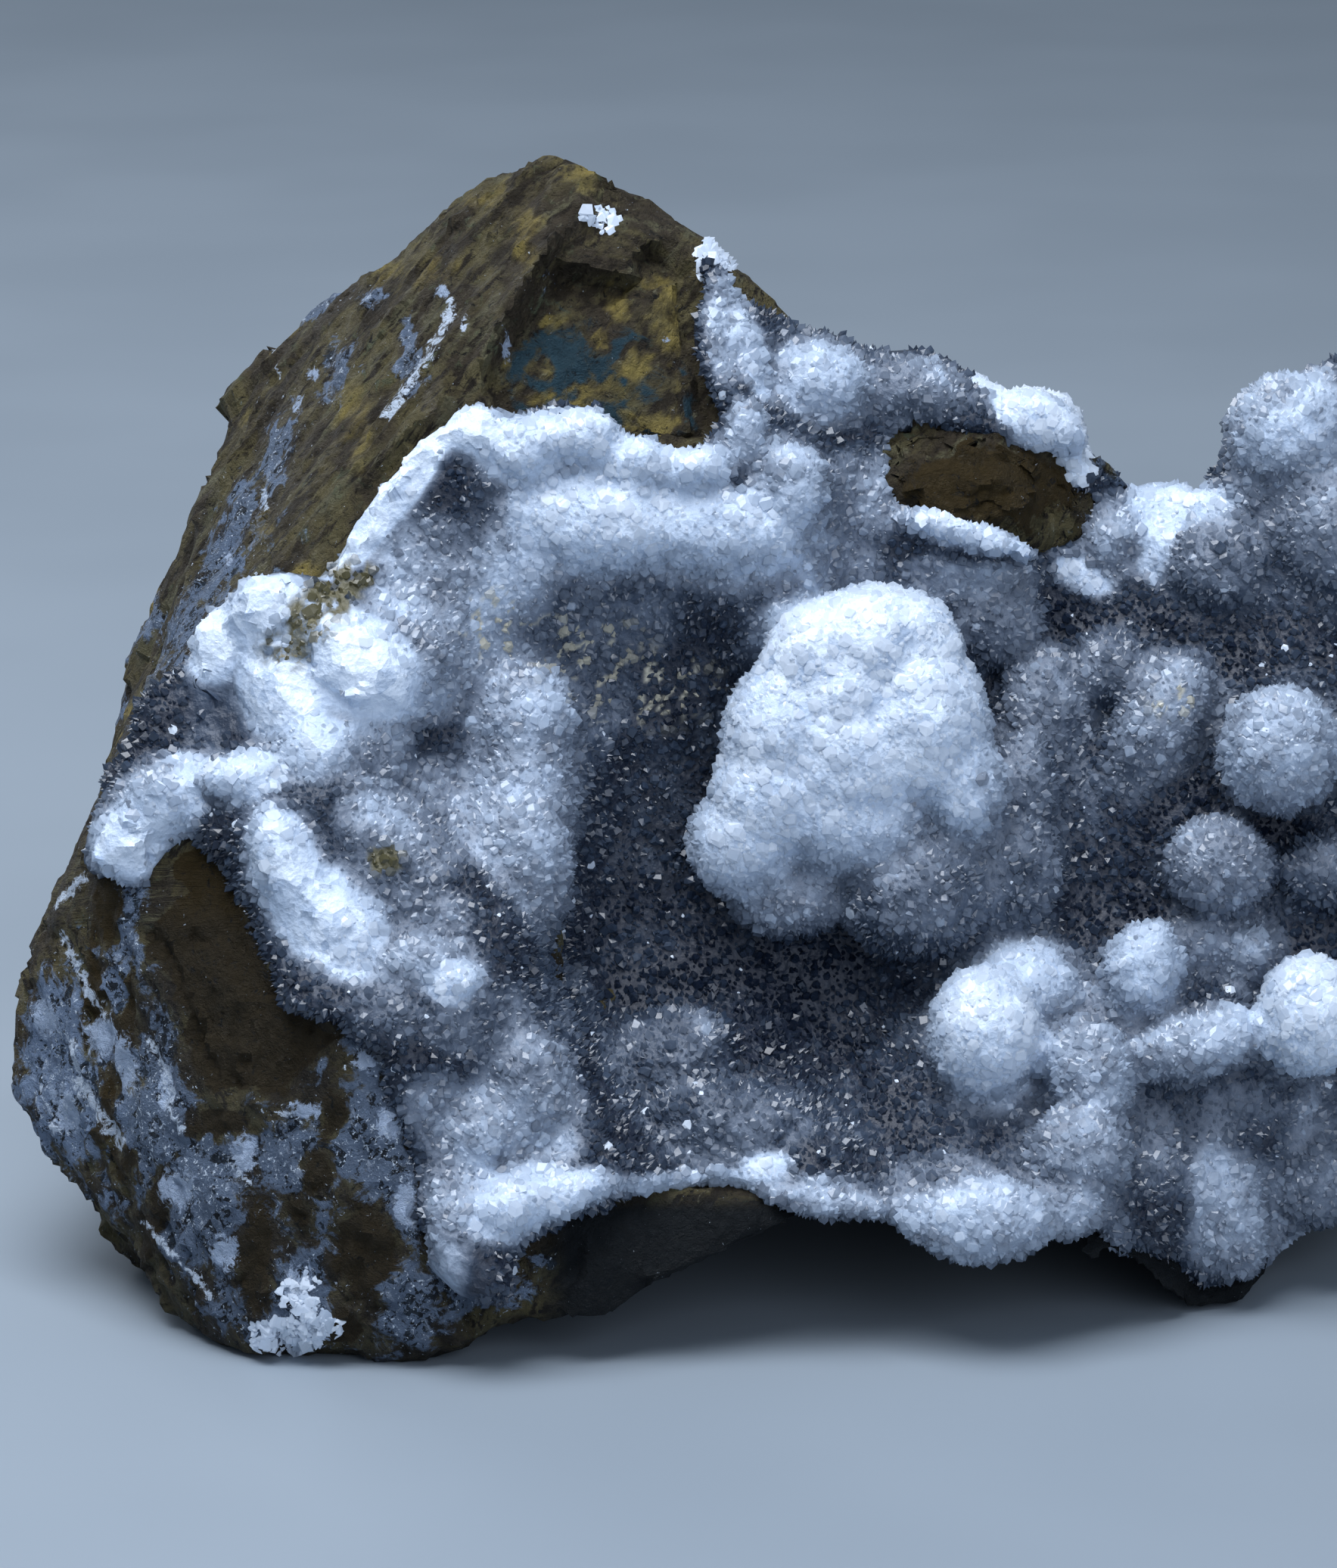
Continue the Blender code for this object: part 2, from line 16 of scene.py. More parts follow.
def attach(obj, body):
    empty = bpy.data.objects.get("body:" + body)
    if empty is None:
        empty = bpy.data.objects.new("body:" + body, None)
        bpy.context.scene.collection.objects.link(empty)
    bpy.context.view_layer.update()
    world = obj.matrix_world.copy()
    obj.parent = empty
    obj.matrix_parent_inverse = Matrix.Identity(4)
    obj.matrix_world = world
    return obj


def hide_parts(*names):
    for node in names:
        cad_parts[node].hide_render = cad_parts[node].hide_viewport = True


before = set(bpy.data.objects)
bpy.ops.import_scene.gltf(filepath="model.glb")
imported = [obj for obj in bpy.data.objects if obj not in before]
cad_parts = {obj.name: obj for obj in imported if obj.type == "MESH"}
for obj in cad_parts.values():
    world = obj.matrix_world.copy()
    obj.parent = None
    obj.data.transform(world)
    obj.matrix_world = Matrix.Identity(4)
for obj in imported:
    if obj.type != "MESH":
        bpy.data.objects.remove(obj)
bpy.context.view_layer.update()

bl_info = {
    "name": "Druzy Quartz Specimen",
    "version": (1, 0, 0),
    "blender": (4, 5, 0),
    "location": "3D View > Sidebar > Druzy Quartz",
    "description": "Builds a hand specimen of druzy quartz on its host rock",
    "category": "Add Mesh",
}

MM = 0.001
LEAN = math.radians(15.0)
STANDPOINT = Vector((10.3, 12.6, -42.9))

# Depth of the rock under the druse at places read off the specimen: across, up, depth.
SOUNDINGS = (
    (-17, 31, -1), (-4, 29.5, -1), (5, 27, 0), (12, 33, 8), (22, 34, 12), (33, 30, 13),
    (42, 24, 14), (-2, 21, 1), (-10, 20, 0), (6, 20, 2), (-3, 11, 7), (-1, -4, 9), (1, -16, 9),
    (13, -16, 8), (12, 2, 8), (20, 18, 8), (-13, 0, 0), (-22, 22, -1), (-28, 9, -5),
    (-40, 6, -1), (-42, -2, -3), (-33, -4, -9), (-20, -10, -9), (-22, -22, -14),
    (-13, -26, -8), (-15, -38, -15), (3, -24, 0), (6, -33, -9), (-6, -34, -12),
    (24, -35, -9), (24, -26, 0), (33, -6, 8), (27, -15, 4), (38, -23, 1), (45, -29, 1),
    (45, -42, 4), (36, -36, -5), (45, -7, 7), (51, 2, 8), (39, 11, 11), (33, 16, 14),
    (26, 24, 4), (51, 24, 9), (60, 28, 9), (68, 14, 14), (72, -4, 16), (66, -26, 12),
    (56, -36, 8), (60, 0, 6), (58, -16, 5),
)
SOUNDING_REACH = 4.2  # mm over which one depth blends into the next
UPPER_BEDS = (0.61, 0.12, 0.78)  # which way the beds of the rock run, above and in the foot
FOOT_BEDS = (0.5, -0.2, -0.84)

# Where the druse ends, going round it: across, up.
CRUST_EDGE = (
    (-17.5, 31), (-21, 26), (-26, 20.5), (-28.5, 17), (-32, 17.5), (-37, 14.5), (-40, 10),
    (-43.5, 7), (-45, 2), (-47, -2), (-48, -6), (-43, -10), (-41.5, -6), (-39, -4),
    (-36, -6.5), (-34, -13), (-31, -18), (-26, -20), (-23, -23), (-21.5, -30),
    (-20, -35), (-19, -39.5), (-15.5, -42), (-12.5, -41), (-12, -37), (-7, -34.5),
    (-2, -33.2), (6, -33.0), (12, -34.2), (20, -36), (26, -38.6), (33, -36.4), (39, -39),
    (45, -42.8), (51, -39), (57, -36), (66, -31), (72, -17), (75, 0), (73, 17), (68, 30),
    (60, 36), (53, 35), (48, 29), (45, 25), (38, 25.5), (34, 30), (27, 34), (22, 36),
    (16, 37), (11, 38), (6, 41), (3, 43.5), (2.5, 36), (4.5, 29.5), (1, 27), (-3, 28),
    (-6, 31), (-10, 31), (-15, 30),
)
ROCK_WINDOW = (
    (18.5, 28), (21, 30), (26, 29), (32, 27), (35.5, 24), (34.5, 21), (30, 20), (23, 21.5),
    (19, 24),
)

# Lumps of the druse: across, up, half width, half height, how far proud, turn, milkiness.
WHITE_BOSS = (
    (16.7, 11.4, 7.6, 5.2, 13.0, 5, 1.0), (11.8, 10.2, 4.2, 5.4, 12.2, -20, 0.97),
    (9.6, 4.6, 5.2, 6.6, 13.2, -18, 0.9), (20.6, 5.0, 6.0, 7.4, 13.8, 0, 0.93),
    (14.6, 2.0, 7.2, 7.2, 13.6, 0, 0.9), (6.2, -4.6, 4.7, 5.0, 12.2, -20, 0.85),
    (14.8, -3.0, 6.8, 4.8, 12.2, 0, 0.72), (24.4, 0.0, 3.6, 4.8, 12.0, 15, 0.8),
    (21.4, 11.0, 3.2, 3.8, 11.5, 0, 0.85), (8.4, -0.8, 5.0, 5.6, 12.9, -22, 0.88),
    (14.6, 7.4, 5.2, 4.8, 13.3, 0, 0.95),
)
GREY_SKIRT = (
    (10.0, -9.2, 5.2, 3.8, 9.0, 0, 0.5), (20.6, -9.0, 6.6, 5.6, 9.0, 10, 0.4),
    (28.4, -7.0, 4.6, 6.0, 7.4, 0, 0.36), (31.4, 5.6, 4.0, 6.2, 6.0, 0, 0.42),
    (27.6, 13.8, 4.0, 4.2, 6.0, 0, 0.5), (29.4, 0.2, 3.2, 4.2, 7.0, 0, 0.42),
)
KNOBS = (
    (41.0, 5.4, 3.9, 6.6, 7.5, -28, 0.52), (37.0, 9.6, 3.0, 3.2, 5.6, 0, 0.42),
    (50.6, 2.8, 5.2, 5.5, 11.5, 0, 0.66), (45.7, -6.8, 4.6, 4.3, 9.0, 0, 0.5),
    (54.2, -7.4, 3.4, 3.4, 6.0, 0, 0.35), (52.9, -19.0, 4.6, 5.2, 12.0, 0, 1.0),
    (39.2, -15.2, 3.5, 4.3, 7.0, -20, 0.72), (44.3, -13.2, 2.7, 2.7, 5.5, 0, 0.5),
    (48.3, -14.2, 2.7, 2.9, 5.5, 0, 0.55), (26.0, -20.4, 4.8, 5.6, 10.0, 0, 0.93),
    (29.6, -17.0, 4.6, 4.2, 6.5, 0, 0.75), (34.6, -24.0, 3.8, 5.2, 8.0, 10, 0.6),
    (33.6, -30.0, 4.6, 3.8, 7.0, 0, 0.55), (42.4, -21.9, 4.7, 2.9, 6.4, 12, 0.62),
    (46.0, -20.7, 2.8, 2.8, 6.2, 0, 0.68), (45.6, -34.4, 3.8, 7.2, 3.4, 18, 0.6),
    (53.4, -31.0, 4.2, 6.2, 6.0, 10, 0.45), (60.0, 3.5, 4.6, 4.4, 8.5, 0, 0.6),
    (63.5, -7.5, 4.2, 4.8, 8.0, 0, 0.5), (60.5, -17.0, 3.9, 3.7, 8.0, 0, 0.75),
    (62.5, -26.0, 4.4, 4.0, 6.0, 0, 0.6), (68.5, 5.0, 3.6, 5.0, 5.5, 0, 0.4),
)
MOUNDS = (
    (-12.0, 5.0, 4.8, 5.6, 4.6, 0, 0.57), (-12.6, -6.4, 5.0, 7.4, 4.8, 0, 0.54),
    (-12.2, -0.4, 4.9, 6.0, 4.9, 0, 0.56),
    (-5.2, 21.6, 8.0, 4.4, 4.6, 0, 0.88), (4.8, 21.0, 7.2, 4.2, 4.4, 0, 0.84),
    (10.0, 24.6, 3.6, 3.8, 4.6, 0, 0.64), (12.3, 33.4, 4.6, 3.4, 4.4, 0, 0.7),
    (19.8, 33.0, 5.4, 3.0, 4.2, -5, 0.46), (0.0, -24.0, 6.8, 5.4, 5.0, 20, 0.32),
    (5.4, -28.4, 7.6, 4.2, 4.6, -8, 0.32), (-11.4, -24.6, 3.8, 5.2, 5.0, 10, 0.52),
    (-15.4, -28.6, 4.6, 4.2, 4.6, 0, 0.6), (25.4, -35.4, 6.6, 3.6, 5.4, 0, 0.7),
    (32.6, -34.4, 3.4, 2.8, 4.6, 0, 0.6), (52.0, 29.4, 5.4, 5.2, 5.0, 0, 0.68),
    (56.0, 21.4, 6.4, 6.4, 5.6, 0, 0.45), (47.0, 18.4, 5.2, 4.4, 5.0, 0, 0.4),
    (64.0, 25.4, 5.6, 6.0, 5.0, 0, 0.6), (65.0, 14.5, 5.4, 5.4, 5.0, 0, 0.48),
)
SHORE = (
    (-16.0, 29.4, 2.6, 2.0, 3.4, 0, 0.95), (-12.0, 27.6, 3.6, 2.6, 3.8, 10, 0.9),
    (-7.0, 28.6, 3.2, 2.4, 3.8, 0, 0.9), (-2.6, 26.4, 2.8, 2.4, 3.8, 0, 0.85),
    (2.2, 26.0, 3.4, 2.0, 3.8, 10, 0.85), (6.2, 28.8, 1.8, 3.4, 3.6, -15, 0.7),
    (-23.0, 23.2, 8.6, 1.5, 3.2, 54, 1.0), (-33.0, 14.6, 3.2, 2.8, 3.4, 0, 0.95),
    (-37.0, 11.4, 2.6, 3.0, 3.2, 0, 0.95), (-25.4, 9.6, 5.6, 3.4, 4.4, -30, 1.0),
    (-31.6, 7.4, 3.0, 4.0, 4.0, 20, 1.0), (-28.6, 2.6, 3.6, 2.8, 4.0, 0, 0.72),
    (-40.6, -1.0, 4.4, 3.0, 4.2, 20, 0.85), (-44.6, -5.4, 3.0, 2.8, 3.6, 0, 0.85),
    (-34.4, 0.4, 3.8, 2.2, 3.8, 0, 0.8), (-31.0, -7.0, 2.6, 5.0, 4.4, 20, 0.85),
    (-26.6, -12.0, 3.6, 5.0, 4.6, 35, 0.9), (-20.6, -14.6, 4.2, 2.6, 4.2, 10, 0.6),
    (-17.4, -16.0, 2.4, 1.8, 4.0, 0, 0.95), (-8.6, -33.4, 3.8, 1.8, 3.4, 15, 0.9),
    (31.4, 30.4, 4.3, 2.5, 4.2, -30, 1.0), (25.0, 20.8, 6.2, 1.3, 3.4, -19, 0.95),
    (34.8, 17.6, 2.8, 1.3, 2.8, -28, 0.9),
    (37.4, 20.6, 2.8, 3.2, 4.0, 0, 0.6), (41.4, 19.6, 2.0, 2.8, 3.8, 0, 0.9),
    (6.6, 35.0, 1.6, 5.0, 3.0, 10, 0.8), (12.5, -34.0, 5.5, 1.4, 3.0, -8, 0.6),
    (-13.4, -34.4, 3.4, 2.4, 3.4, 30, 0.9),
)
BACK_TUFT = (30.8, 17.0, 30.4, 4.6, 3.5)  # a white tuft just over the far edge: place and size

# Stretches of the plain druse between the lumps: across, up, half width, half height, milkiness.
SHALLOWS = (
    (-20, 17, 5, 5, 0.62), (-16, 12, 4, 4, 0.6), (-13, 17, 4, 4, 0.66), (-4, 14, 5, 4, 0.36),
    (-6, 7, 3, 5, 0.34), (-2, -1, 4, 7, 0.2), (-3, -13, 6, 5, 0.12), (11, -15, 9, 3.5, 0.0),
    (8, -21, 7, 4, 0.05), (19, -25, 4, 4, 0.14), (31, 14, 5, 2.5, 0.05), (46, 13, 5, 4, 0.1),
    (37, 0, 2.5, 8, 0.2), (36, -9, 2.5, 4, 0.14), (43, -1.5, 3.5, 2, 0.0), (51, -4, 4, 1.5, 0.0),
    (-19, -3, 3, 5, 0.52), (-23, -2, 4, 4, 0.55), (-24, -7, 2.5, 2.5, 0.35),
    (-20, -11, 4, 3, 0.5), (-22, -18.5, 3.5, 2.5, 0.3), (-17, -20, 3, 2, 0.42),
    (-39, 5, 3.5, 3, 0.16), (-42, 0.5, 2, 2, 0.3), (-31, 12, 2.5, 3, 0.75), (-24, 3, 3, 3, 0.55),
    (-19, 8, 3, 3, 0.6), (-14, -19, 3, 3, 0.42), (-19, -26, 2.5, 3, 0.5), (-17, -33, 3, 3, 0.6),
    (-10, -29, 3, 2.5, 0.7), (16, 24, 4, 4, 0.5), (20, 26, 3, 4, 0.5), (14, 18, 4, 3, 0.52),
    (22, 17, 3, 2, 0.5), (26, 17, 5, 1.6, 0.6), (43, 23, 5, 3, 0.95), (34, -38, 5, 3, 0.45),
    (50, -36, 4, 5, 0.5), (40, -30, 4, 4, 0.34), (47, -27, 4, 3, 0.35), (58, -10, 4, 4, 0.2),
    (64, -1, 4, 4, 0.25), (5, -32.5, 10, 1.2, 0.75), (8, -31, 2.2, 1.4, 1.0),
    (-12, -32, 4, 1.6, 0.85), (-18, -38.5, 2, 3.4, 0.42), (5.9, 25.3, 1.0, 1.2, 0.0),
    (5.0, 38, 2, 5, 0.7), (15, -27, 4, 3, 0.22), (22, -32, 4, 2, 0.45), (-9, -18, 3, 3, 0.3),
)
# Where the quartz is massive and breaks in blocks, with few points on it.
MASSIVE = (
    (-18.6, 29.2, 3.0, 2.6), (-21.0, 26.2, 3.0, 3.0), (-23.4, 23.2, 3.0, 3.0), (-25.8, 20.2, 3.0, 3.0),
    (-28.0, 17.6, 3.0, 3.0), (-31.0, 12.0, 7.5, 7.5), (-26.0, 8.5, 6.0, 4.0), (-36.0, 8.0, 4.0, 5.0),
    (-16.0, 29.0, 3.0, 2.0), (-29.0, -10.0, 3.5, 5.0), (-44.0, -5.0, 4.0, 3.0),
    (-17.0, -39.5, 3.0, 3.0),
)
BUFF_THREADS = (
    (-7, 11.5, 5, 3), (-2, 8, 6, 3), (-14, 13, 3, 3), (42, 7, 2, 1.5),
)

# Where the massive quartz is stained like the rock, so that the rock seems to come through.
STAINED_QUARTZ = (
    (-26.0, 17.0, 2.0, 1.6), (-27.6, 15.2, 2.4, 1.8), (-29.4, 13.4, 2.2, 2.2), (-31.2, 11.0, 2.4, 1.8),
    (-23.0, -6.2, 1.5, 1.4),
)

# Marks on the bare rock: across, up, half width, half height.
SLATE_PATCHES = (
    (-11.0, 34.6, 1.2, 0.8), (-6.4, 35.6, 1.0, 0.5), (-2.1, 42.7, 0.8, 0.8), (-9.6, 42.4, 0.7, 1.2),
    (-1.2, 39.4, 0.5, 3.2), (-21.6, 35.4, 0.9, 3.4), (-28.3, 35.3, 1.5, 2.9), (-33.0, 28.0, 1.5, 3.2),
    (-36.2, 23.3, 1.1, 2.6), (-38.2, 18.1, 1.1, 2.6), (-39.7, 13.0, 1.0, 1.9), (-26.1, 42.1, 1.8, 1.6),
    (-50.0, -24.0, 4.5, 9.0), (-43.0, -27.0, 5.0, 9.0), (-38.0, -33.0, 6.0, 7.0),
    (-29.0, -31.0, 7.0, 5.5), (-24.0, -31.0, 5.5, 9.0), (-31.0, -42.0, 6.5, 4.0),
    (-22.0, -42.0, 5.0, 4.0), (-23.0, -21.0, 3.5, 2.5), (-16.4, -40.4, 4.4, 2.4),
    (-9.9, -38.2, 1.9, 0.9), (-45.0, -14.0, 3.0, 6.0), (41.0, 25.0, 9.0, 4.0),
    (-47.0, 26.0, 12.0, 22.0),
)
PALE_PATCHES = (
    (-19.0, 41.2, 0.7, 0.7), (-25.9, 41.4, 0.8, 0.7), (-30.5, 35.0, 0.7, 0.9), (-31.4, 32.2, 0.7, 1.1),
    (-34.2, 24.1, 0.6, 1.3), (-37.0, 19.0, 0.5, 0.9), (-51.8, -19.5, 1.2, 2.0), (-46.6, -20.6, 1.9, 2.2),
    (-44.6, -23.0, 1.2, 3.0), (-50.0, -27.0, 1.6, 2.6), (-41.0, -24.6, 0.9, 2.8), (-30.0, -40.6, 1.5, 2.2),
    (-30.4, -44.6, 3.0, 1.6), (-40.0, -33.0, 2.0, 2.0), (-34.5, -30.0, 1.4, 2.0), (-29.5, -26.4, 1.5, 1.0),
    (-24.4, -22.0, 1.6, 1.3), (-22.5, -27.5, 1.2, 1.6), (-21.0, -34.0, 1.4, 2.4), (0.2, 37.8, 0.6, 0.5),
    (-13.4, 36.6, 0.5, 1.4), (-36.0, -38.0, 1.6, 1.6), (-14.5, -40.0, 1.8, 1.2),
)
GOLD_PATCHES = (
    (0.4, 38.9, 2.4, 4.0), (-19.5, 43.8, 2.4, 2.4), (-15.0, 49.5, 3.0, 1.5), (-43.0, 9.0, 1.6, 3.0),
    (-26.0, 30.0, 2.0, 4.0), (-34.0, 22.0, 1.6, 3.0), (-11.5, 33.4, 1.5, 1.0), (-5.0, 33.2, 2.0, 1.2),
    (-29.5, 17.5, 2.0, 1.5), (-4.6, 41.0, 1.6, 1.6), (-22.0, 24.0, 2.0, 3.0), (-12.0, 45.0, 1.4, 4.0),
    (-44.2, -24.5, 0.7, 1.2), (-24.5, 43.6, 3.0, 1.6), (-8.0, 51.5, 3.0, 1.8), (-29.0, 38.5, 1.4, 2.2),
    (1.0, 33.0, 1.0, 2.4),
)
EARTH_PATCHES = (
    (-19.2, -21.0, 1.8, 3.2), (-27.2, -26.8, 1.3, 1.8), (-33.4, -38.4, 1.6, 4.8), (-24.6, -37.6, 2.4, 5.0),
    (-30.4, -34.2, 1.2, 1.4), (-36.6, -27.6, 3.0, 1.2), (-5.8, -36.4, 4.0, 3.0), (-41.6, -33.0, 1.2, 2.2),
    (-46.4, -10.0, 1.2, 4.0), (27.0, 25.0, 8.0, 4.0), (-44.6, -31.0, 1.0, 2.0), (2.0, -36.0, 5.0, 2.0),
    (-20.6, -29.0, 1.4, 1.2), (-26.5, -44.0, 1.6, 1.4), (-47.6, -17.0, 0.9, 4.5), (-44.4, -18.6, 1.0, 3.6),
    (-46.6, -27.5, 0.9, 3.2), (-42.6, -37.0, 1.2, 2.6), (-28.0, -31.6, 1.6, 2.0),
)
# Sheer places in the rock, set back behind their surroundings: the ring and how deep, mm.
BROWN_WINDOW = (
    (-38.3, -4.6), (-35.3, -6.8), (-34.2, -10.9), (-32.7, -15.0), (-30.4, -16.9), (-27.1, -19.1),
    (-26.7, -20.3), (-29.7, -23.3), (-30.4, -25.1), (-36.8, -25.1), (-39.1, -21.8),
    (-40.2, -17.3), (-42.8, -13.1), (-42.4, -10.1), (-40.6, -9.0), (-39.8, -6.0),
)
DARK_TRIANGLE = (
    (-6.9, 49.3), (-15.6, 34.0), (-14.0, 30.5), (-3.0, 27.0), (5.0, 29.0), (3.0, 44.0),
)
SETBACKS = ((DARK_TRIANGLE, 2.2), (BROWN_WINDOW, 0.9))
QUARTZ_VEINS = (  # half width, then the places it runs through
    (0.7, (-23.6, 30.6), (-20.9, 34.6), (-18.9, 37.6), (-18.0, 40.2)),
    (0.35, (-16.7, 37.6), (-16.4, 39.0)), (0.3, (-33.2, 33.7), (-32.9, 32.4)),
    (0.3, (-34.2, 24.8), (-33.7, 23.1)), (0.4, (-51.0, -10.2), (-48.0, -7.3)),
    (0.65, (-50.2, -12.6), (-48.4, -16.4), (-46.2, -19.5)),
    (0.7, (-49.2, -21.4), (-48.6, -24.6), (-46.8, -27.6), (-45.2, -29.6)),
    (0.6, (-42.4, -21.0), (-41.0, -23.8), (-40.6, -26.5), (-39.4, -28.2)),
    (0.6, (-15.1, 26.6), (-18.9, 25.9)),
    (0.3, (-35.8, -30.4), (-33.8, -32.3)), (0.3, (-31.9, -26.3), (-29.3, -27.3)),
    (0.32, (-19.6, -40.2), (-17.2, -38.9), (-14.5, -38.6), (-13.4, -35.6), (-9.6, -33.4)),
    (0.25, (-43.0, -36.0), (-40.2, -38.4), (-37.0, -42.0)), (0.25, (-52.4, -25.0), (-50.4, -29.0)),
)
# Places on the bare rock where quartz points have grown: across, up, half width, half height.
STRAY_DRUSE = (
    (-5.6, 47.3, 1.1, 0.9), (-31.0, -44.8, 2.6, 1.3), (-28.4, -44.0, 1.6, 1.0), (-29.6, -41.0, 1.2, 1.4),
    (-16.6, 28.6, 1.5, 0.8), (4.0, 44.0, 1.4, 2.2),
)
CLOUDINESS = 0.6  # how far light inside a point evens out its facets, 0 to 1
# The "shade" mark is painted shade under the arch and on the set-back face. It also darkens the slate
# patches and the foot.
ROCK_MARKS = ("slate", "pale", "gold", "earth", "chalk", "shade", "foot", "teal")


def srgb(code):
    """Linear colour from an sRGB hex value."""
    parts = [int(code[i:i + 2], 16) / 255.0 for i in (1, 3, 5)]
    return tuple(c / 12.92 if c <= 0.04045 else ((c + 0.055) / 1.055) ** 2.4 for c in parts)


def upright():
    """Takes millimetres in the face frame to metres on the table."""
    return (Matrix.Scale(MM, 4) @ Matrix.Translation(-STANDPOINT)
            @ Matrix.Rotation(-LEAN, 4, "X"))


def above_table(points):
    """Height over the table, in mm, of points in the face frame."""
    lift = np.array(upright().to_3x3())[2] / MM
    return points @ lift + upright().translation.z / MM


def stand(obj):
    """Brings a piece from the face frame to the table, and lets none of it sink in."""
    obj.data.transform(upright())
    points = coordinates(obj.data)
    points[:, 2] = np.maximum(points[:, 2], 0.0)
    set_coordinates(obj.data, points)


def coordinates(mesh):
    points = np.empty(len(mesh.vertices) * 3, np.float32)
    mesh.vertices.foreach_get("co", points)
    return points.reshape(-1, 3).astype(float)


def set_coordinates(mesh, points):
    mesh.vertices.foreach_set("co", points.astype(np.float32).ravel())
    mesh.update()


def normals(mesh):
    found = np.empty(len(mesh.vertices) * 3, np.float32)
    mesh.vertices.foreach_get("normal", found)
    return found.reshape(-1, 3).astype(float)


def link(name, mesh):
    obj = bpy.data.objects.new(name, mesh)
    bpy.context.scene.collection.objects.link(obj)
    return obj


def noise_at(points, size, octaves=3, seed=0.0):
    """Fractal noise from about -1 to 1, with blobs of the given size in mm."""
    offset = Vector((seed, -seed, 2.0 * seed))
    return np.array(
        [noise.fractal(Vector(p) / size + offset, 1.0, 2.0, octaves) for p in points]
    )


def along_beds(points, direction, stretch):
    """Squeezes space along the beds, so that noise read there comes out as long ridges."""
    beds = np.array(Vector(direction).normalized())
    return points - np.outer(points @ beds, beds) * (1.0 - 1.0 / stretch)


def chipped(points, size, seed=0.0):
    """Height of a surface broken into small tilted flats, each about size mm across."""
    offset = Vector((seed, seed, -seed))
    noise.seed_set(1)
    heights = []
    for p in points:
        spot = Vector(p) / size + offset
        heart = noise.voronoi(spot)[1][0]
        heights.append((spot - heart).dot(noise.noise_vector(heart * 7.3) * 2.0))
    return np.array(heights) * size


def broken_flats(points, out, size, direction, stretch, share, seed=0.0):
    """Brings a surface closer to the flats that a broken rock has, longer along its beds."""
    offset = Vector((seed, -seed, seed))
    squeezed = along_beds(points, direction, stretch)
    hearts = np.array([noise.voronoi(Vector(p) / size + offset)[1][0] for p in squeezed])
    _, cell = np.unique(np.round(hearts, 3), axis=0, return_inverse=True)
    cell = cell.ravel()
    count = np.bincount(cell)[:, None]
    middle, facing = [
        np.stack([np.bincount(cell, values[:, side]) for side in range(3)], 1) / count
        for values in (points, out)
    ]
    firm = np.linalg.norm(facing, axis=1)
    facing /= firm[:, None]
    gap = ((points - middle[cell]) * facing[cell]).sum(1)
    grip = share * np.clip((firm[cell] - 0.45) / 0.3, 0.0, 1.0)
    return points - (grip * np.clip(gap, -1.6, 1.6))[:, None] * facing[cell]


def base_depth(x, z):
    """Depth of the rock surface under the druse, blended from the soundings."""
    spots = np.array(SOUNDINGS, float)
    depth = np.empty_like(x)
    for start in range(0, len(x), 20000):
        part = slice(start, start + 20000)
        squared = (x[part, None] - spots[:, 0]) ** 2 + (z[part, None] - spots[:, 1]) ** 2
        weight = np.exp((squared.min(1, keepdims=True) - squared) / (2.0 * SOUNDING_REACH**2))
        depth[part] = (weight * spots[:, 2]).sum(1) / weight.sum(1)
    return depth


def inside_distance(ring, x, z):
    """Distance to a closed ring of points, positive inside it."""
    away, odd = np.full(len(x), 1e9), np.zeros(len(x), bool)
    for (ax, az), (bx, bz) in zip(ring, (*ring[1:], ring[0])):
        away = np.minimum(away, line_distance(x, z, (ax, az), (bx, bz)))
        spans = (az > z) != (bz > z)
        crossing = ax + (bx - ax) * (z - az) / ((bz - az) or 1e-9)
        odd ^= spans & (x < crossing)
    return np.where(odd, away, -away)


def line_distance(x, z, start, end):
    """Distance from places on the face to one straight stretch."""
    run = (end[0] - start[0], end[1] - start[1])
    px, pz = x - start[0], z - start[1]
    share = np.clip((px * run[0] + pz * run[1]) / (run[0] ** 2 + run[1] ** 2), 0.0, 1.0)
    return np.hypot(px - share * run[0], pz - share * run[1])


def ragged_cover(x, z):
    """How far inside the druse a place is, in mm, with a broken, uneven edge."""
    cover = np.minimum(inside_distance(CRUST_EDGE, x, z), -inside_distance(ROCK_WINDOW, x, z))
    flat = np.stack([x, np.zeros_like(x), z], axis=1)
    return cover + 0.9 * noise_at(flat, 3.0, seed=3.0) + 0.5 * noise_at(flat, 1.2, seed=13.0)


def patch_share(patches, x, z, soft=0.5):
    """How much a place lies in a list of oval patches, from 0 to 1."""
    share = np.zeros_like(x)
    for across, up, half_width, half_height in patches:
        reach = np.hypot((x - across) / half_width, (z - up) / half_height)
        share = np.maximum(share, np.clip((1.0 + soft - reach) / (2.0 * soft), 0.0, 1.0))
    return share


def foot_share(points):
    """How much a place belongs to the foot at the lower left, 0 to 1."""
    x, _, z = points.T
    return np.clip((-6.0 - z) / 6.0, 0.0, 1.0) * np.clip((-10.0 - x) / 6.0, 0.0, 1.0)


def ellipsoid(bm, centre, radii, turn=0.0, detail=4):
    """A ball stretched to its three radii and turned in the plane of the face."""
    shape = Matrix.Translation(centre) @ Matrix.Rotation(-math.radians(turn), 4, "Y")
    shape @= Matrix.Diagonal((*radii, 1.0))
    bmesh.ops.create_icosphere(bm, subdivisions=detail, radius=1.0, matrix=shape)


def apply_modifiers(obj):
    """Replaces an object's mesh by the one its modifiers make."""
    graph = bpy.context.evaluated_depsgraph_get()
    made = bpy.data.meshes.new_from_object(obj.evaluated_get(graph))
    obj.modifiers.clear()
    obj.data = made
    return obj


def fuse(obj, voxel):
    """Melts overlapping bodies into one skin of even faces."""
    remesh = obj.modifiers.new("fuse", "REMESH")
    remesh.mode = "VOXEL"
    remesh.voxel_size = voxel
    return apply_modifiers(obj)


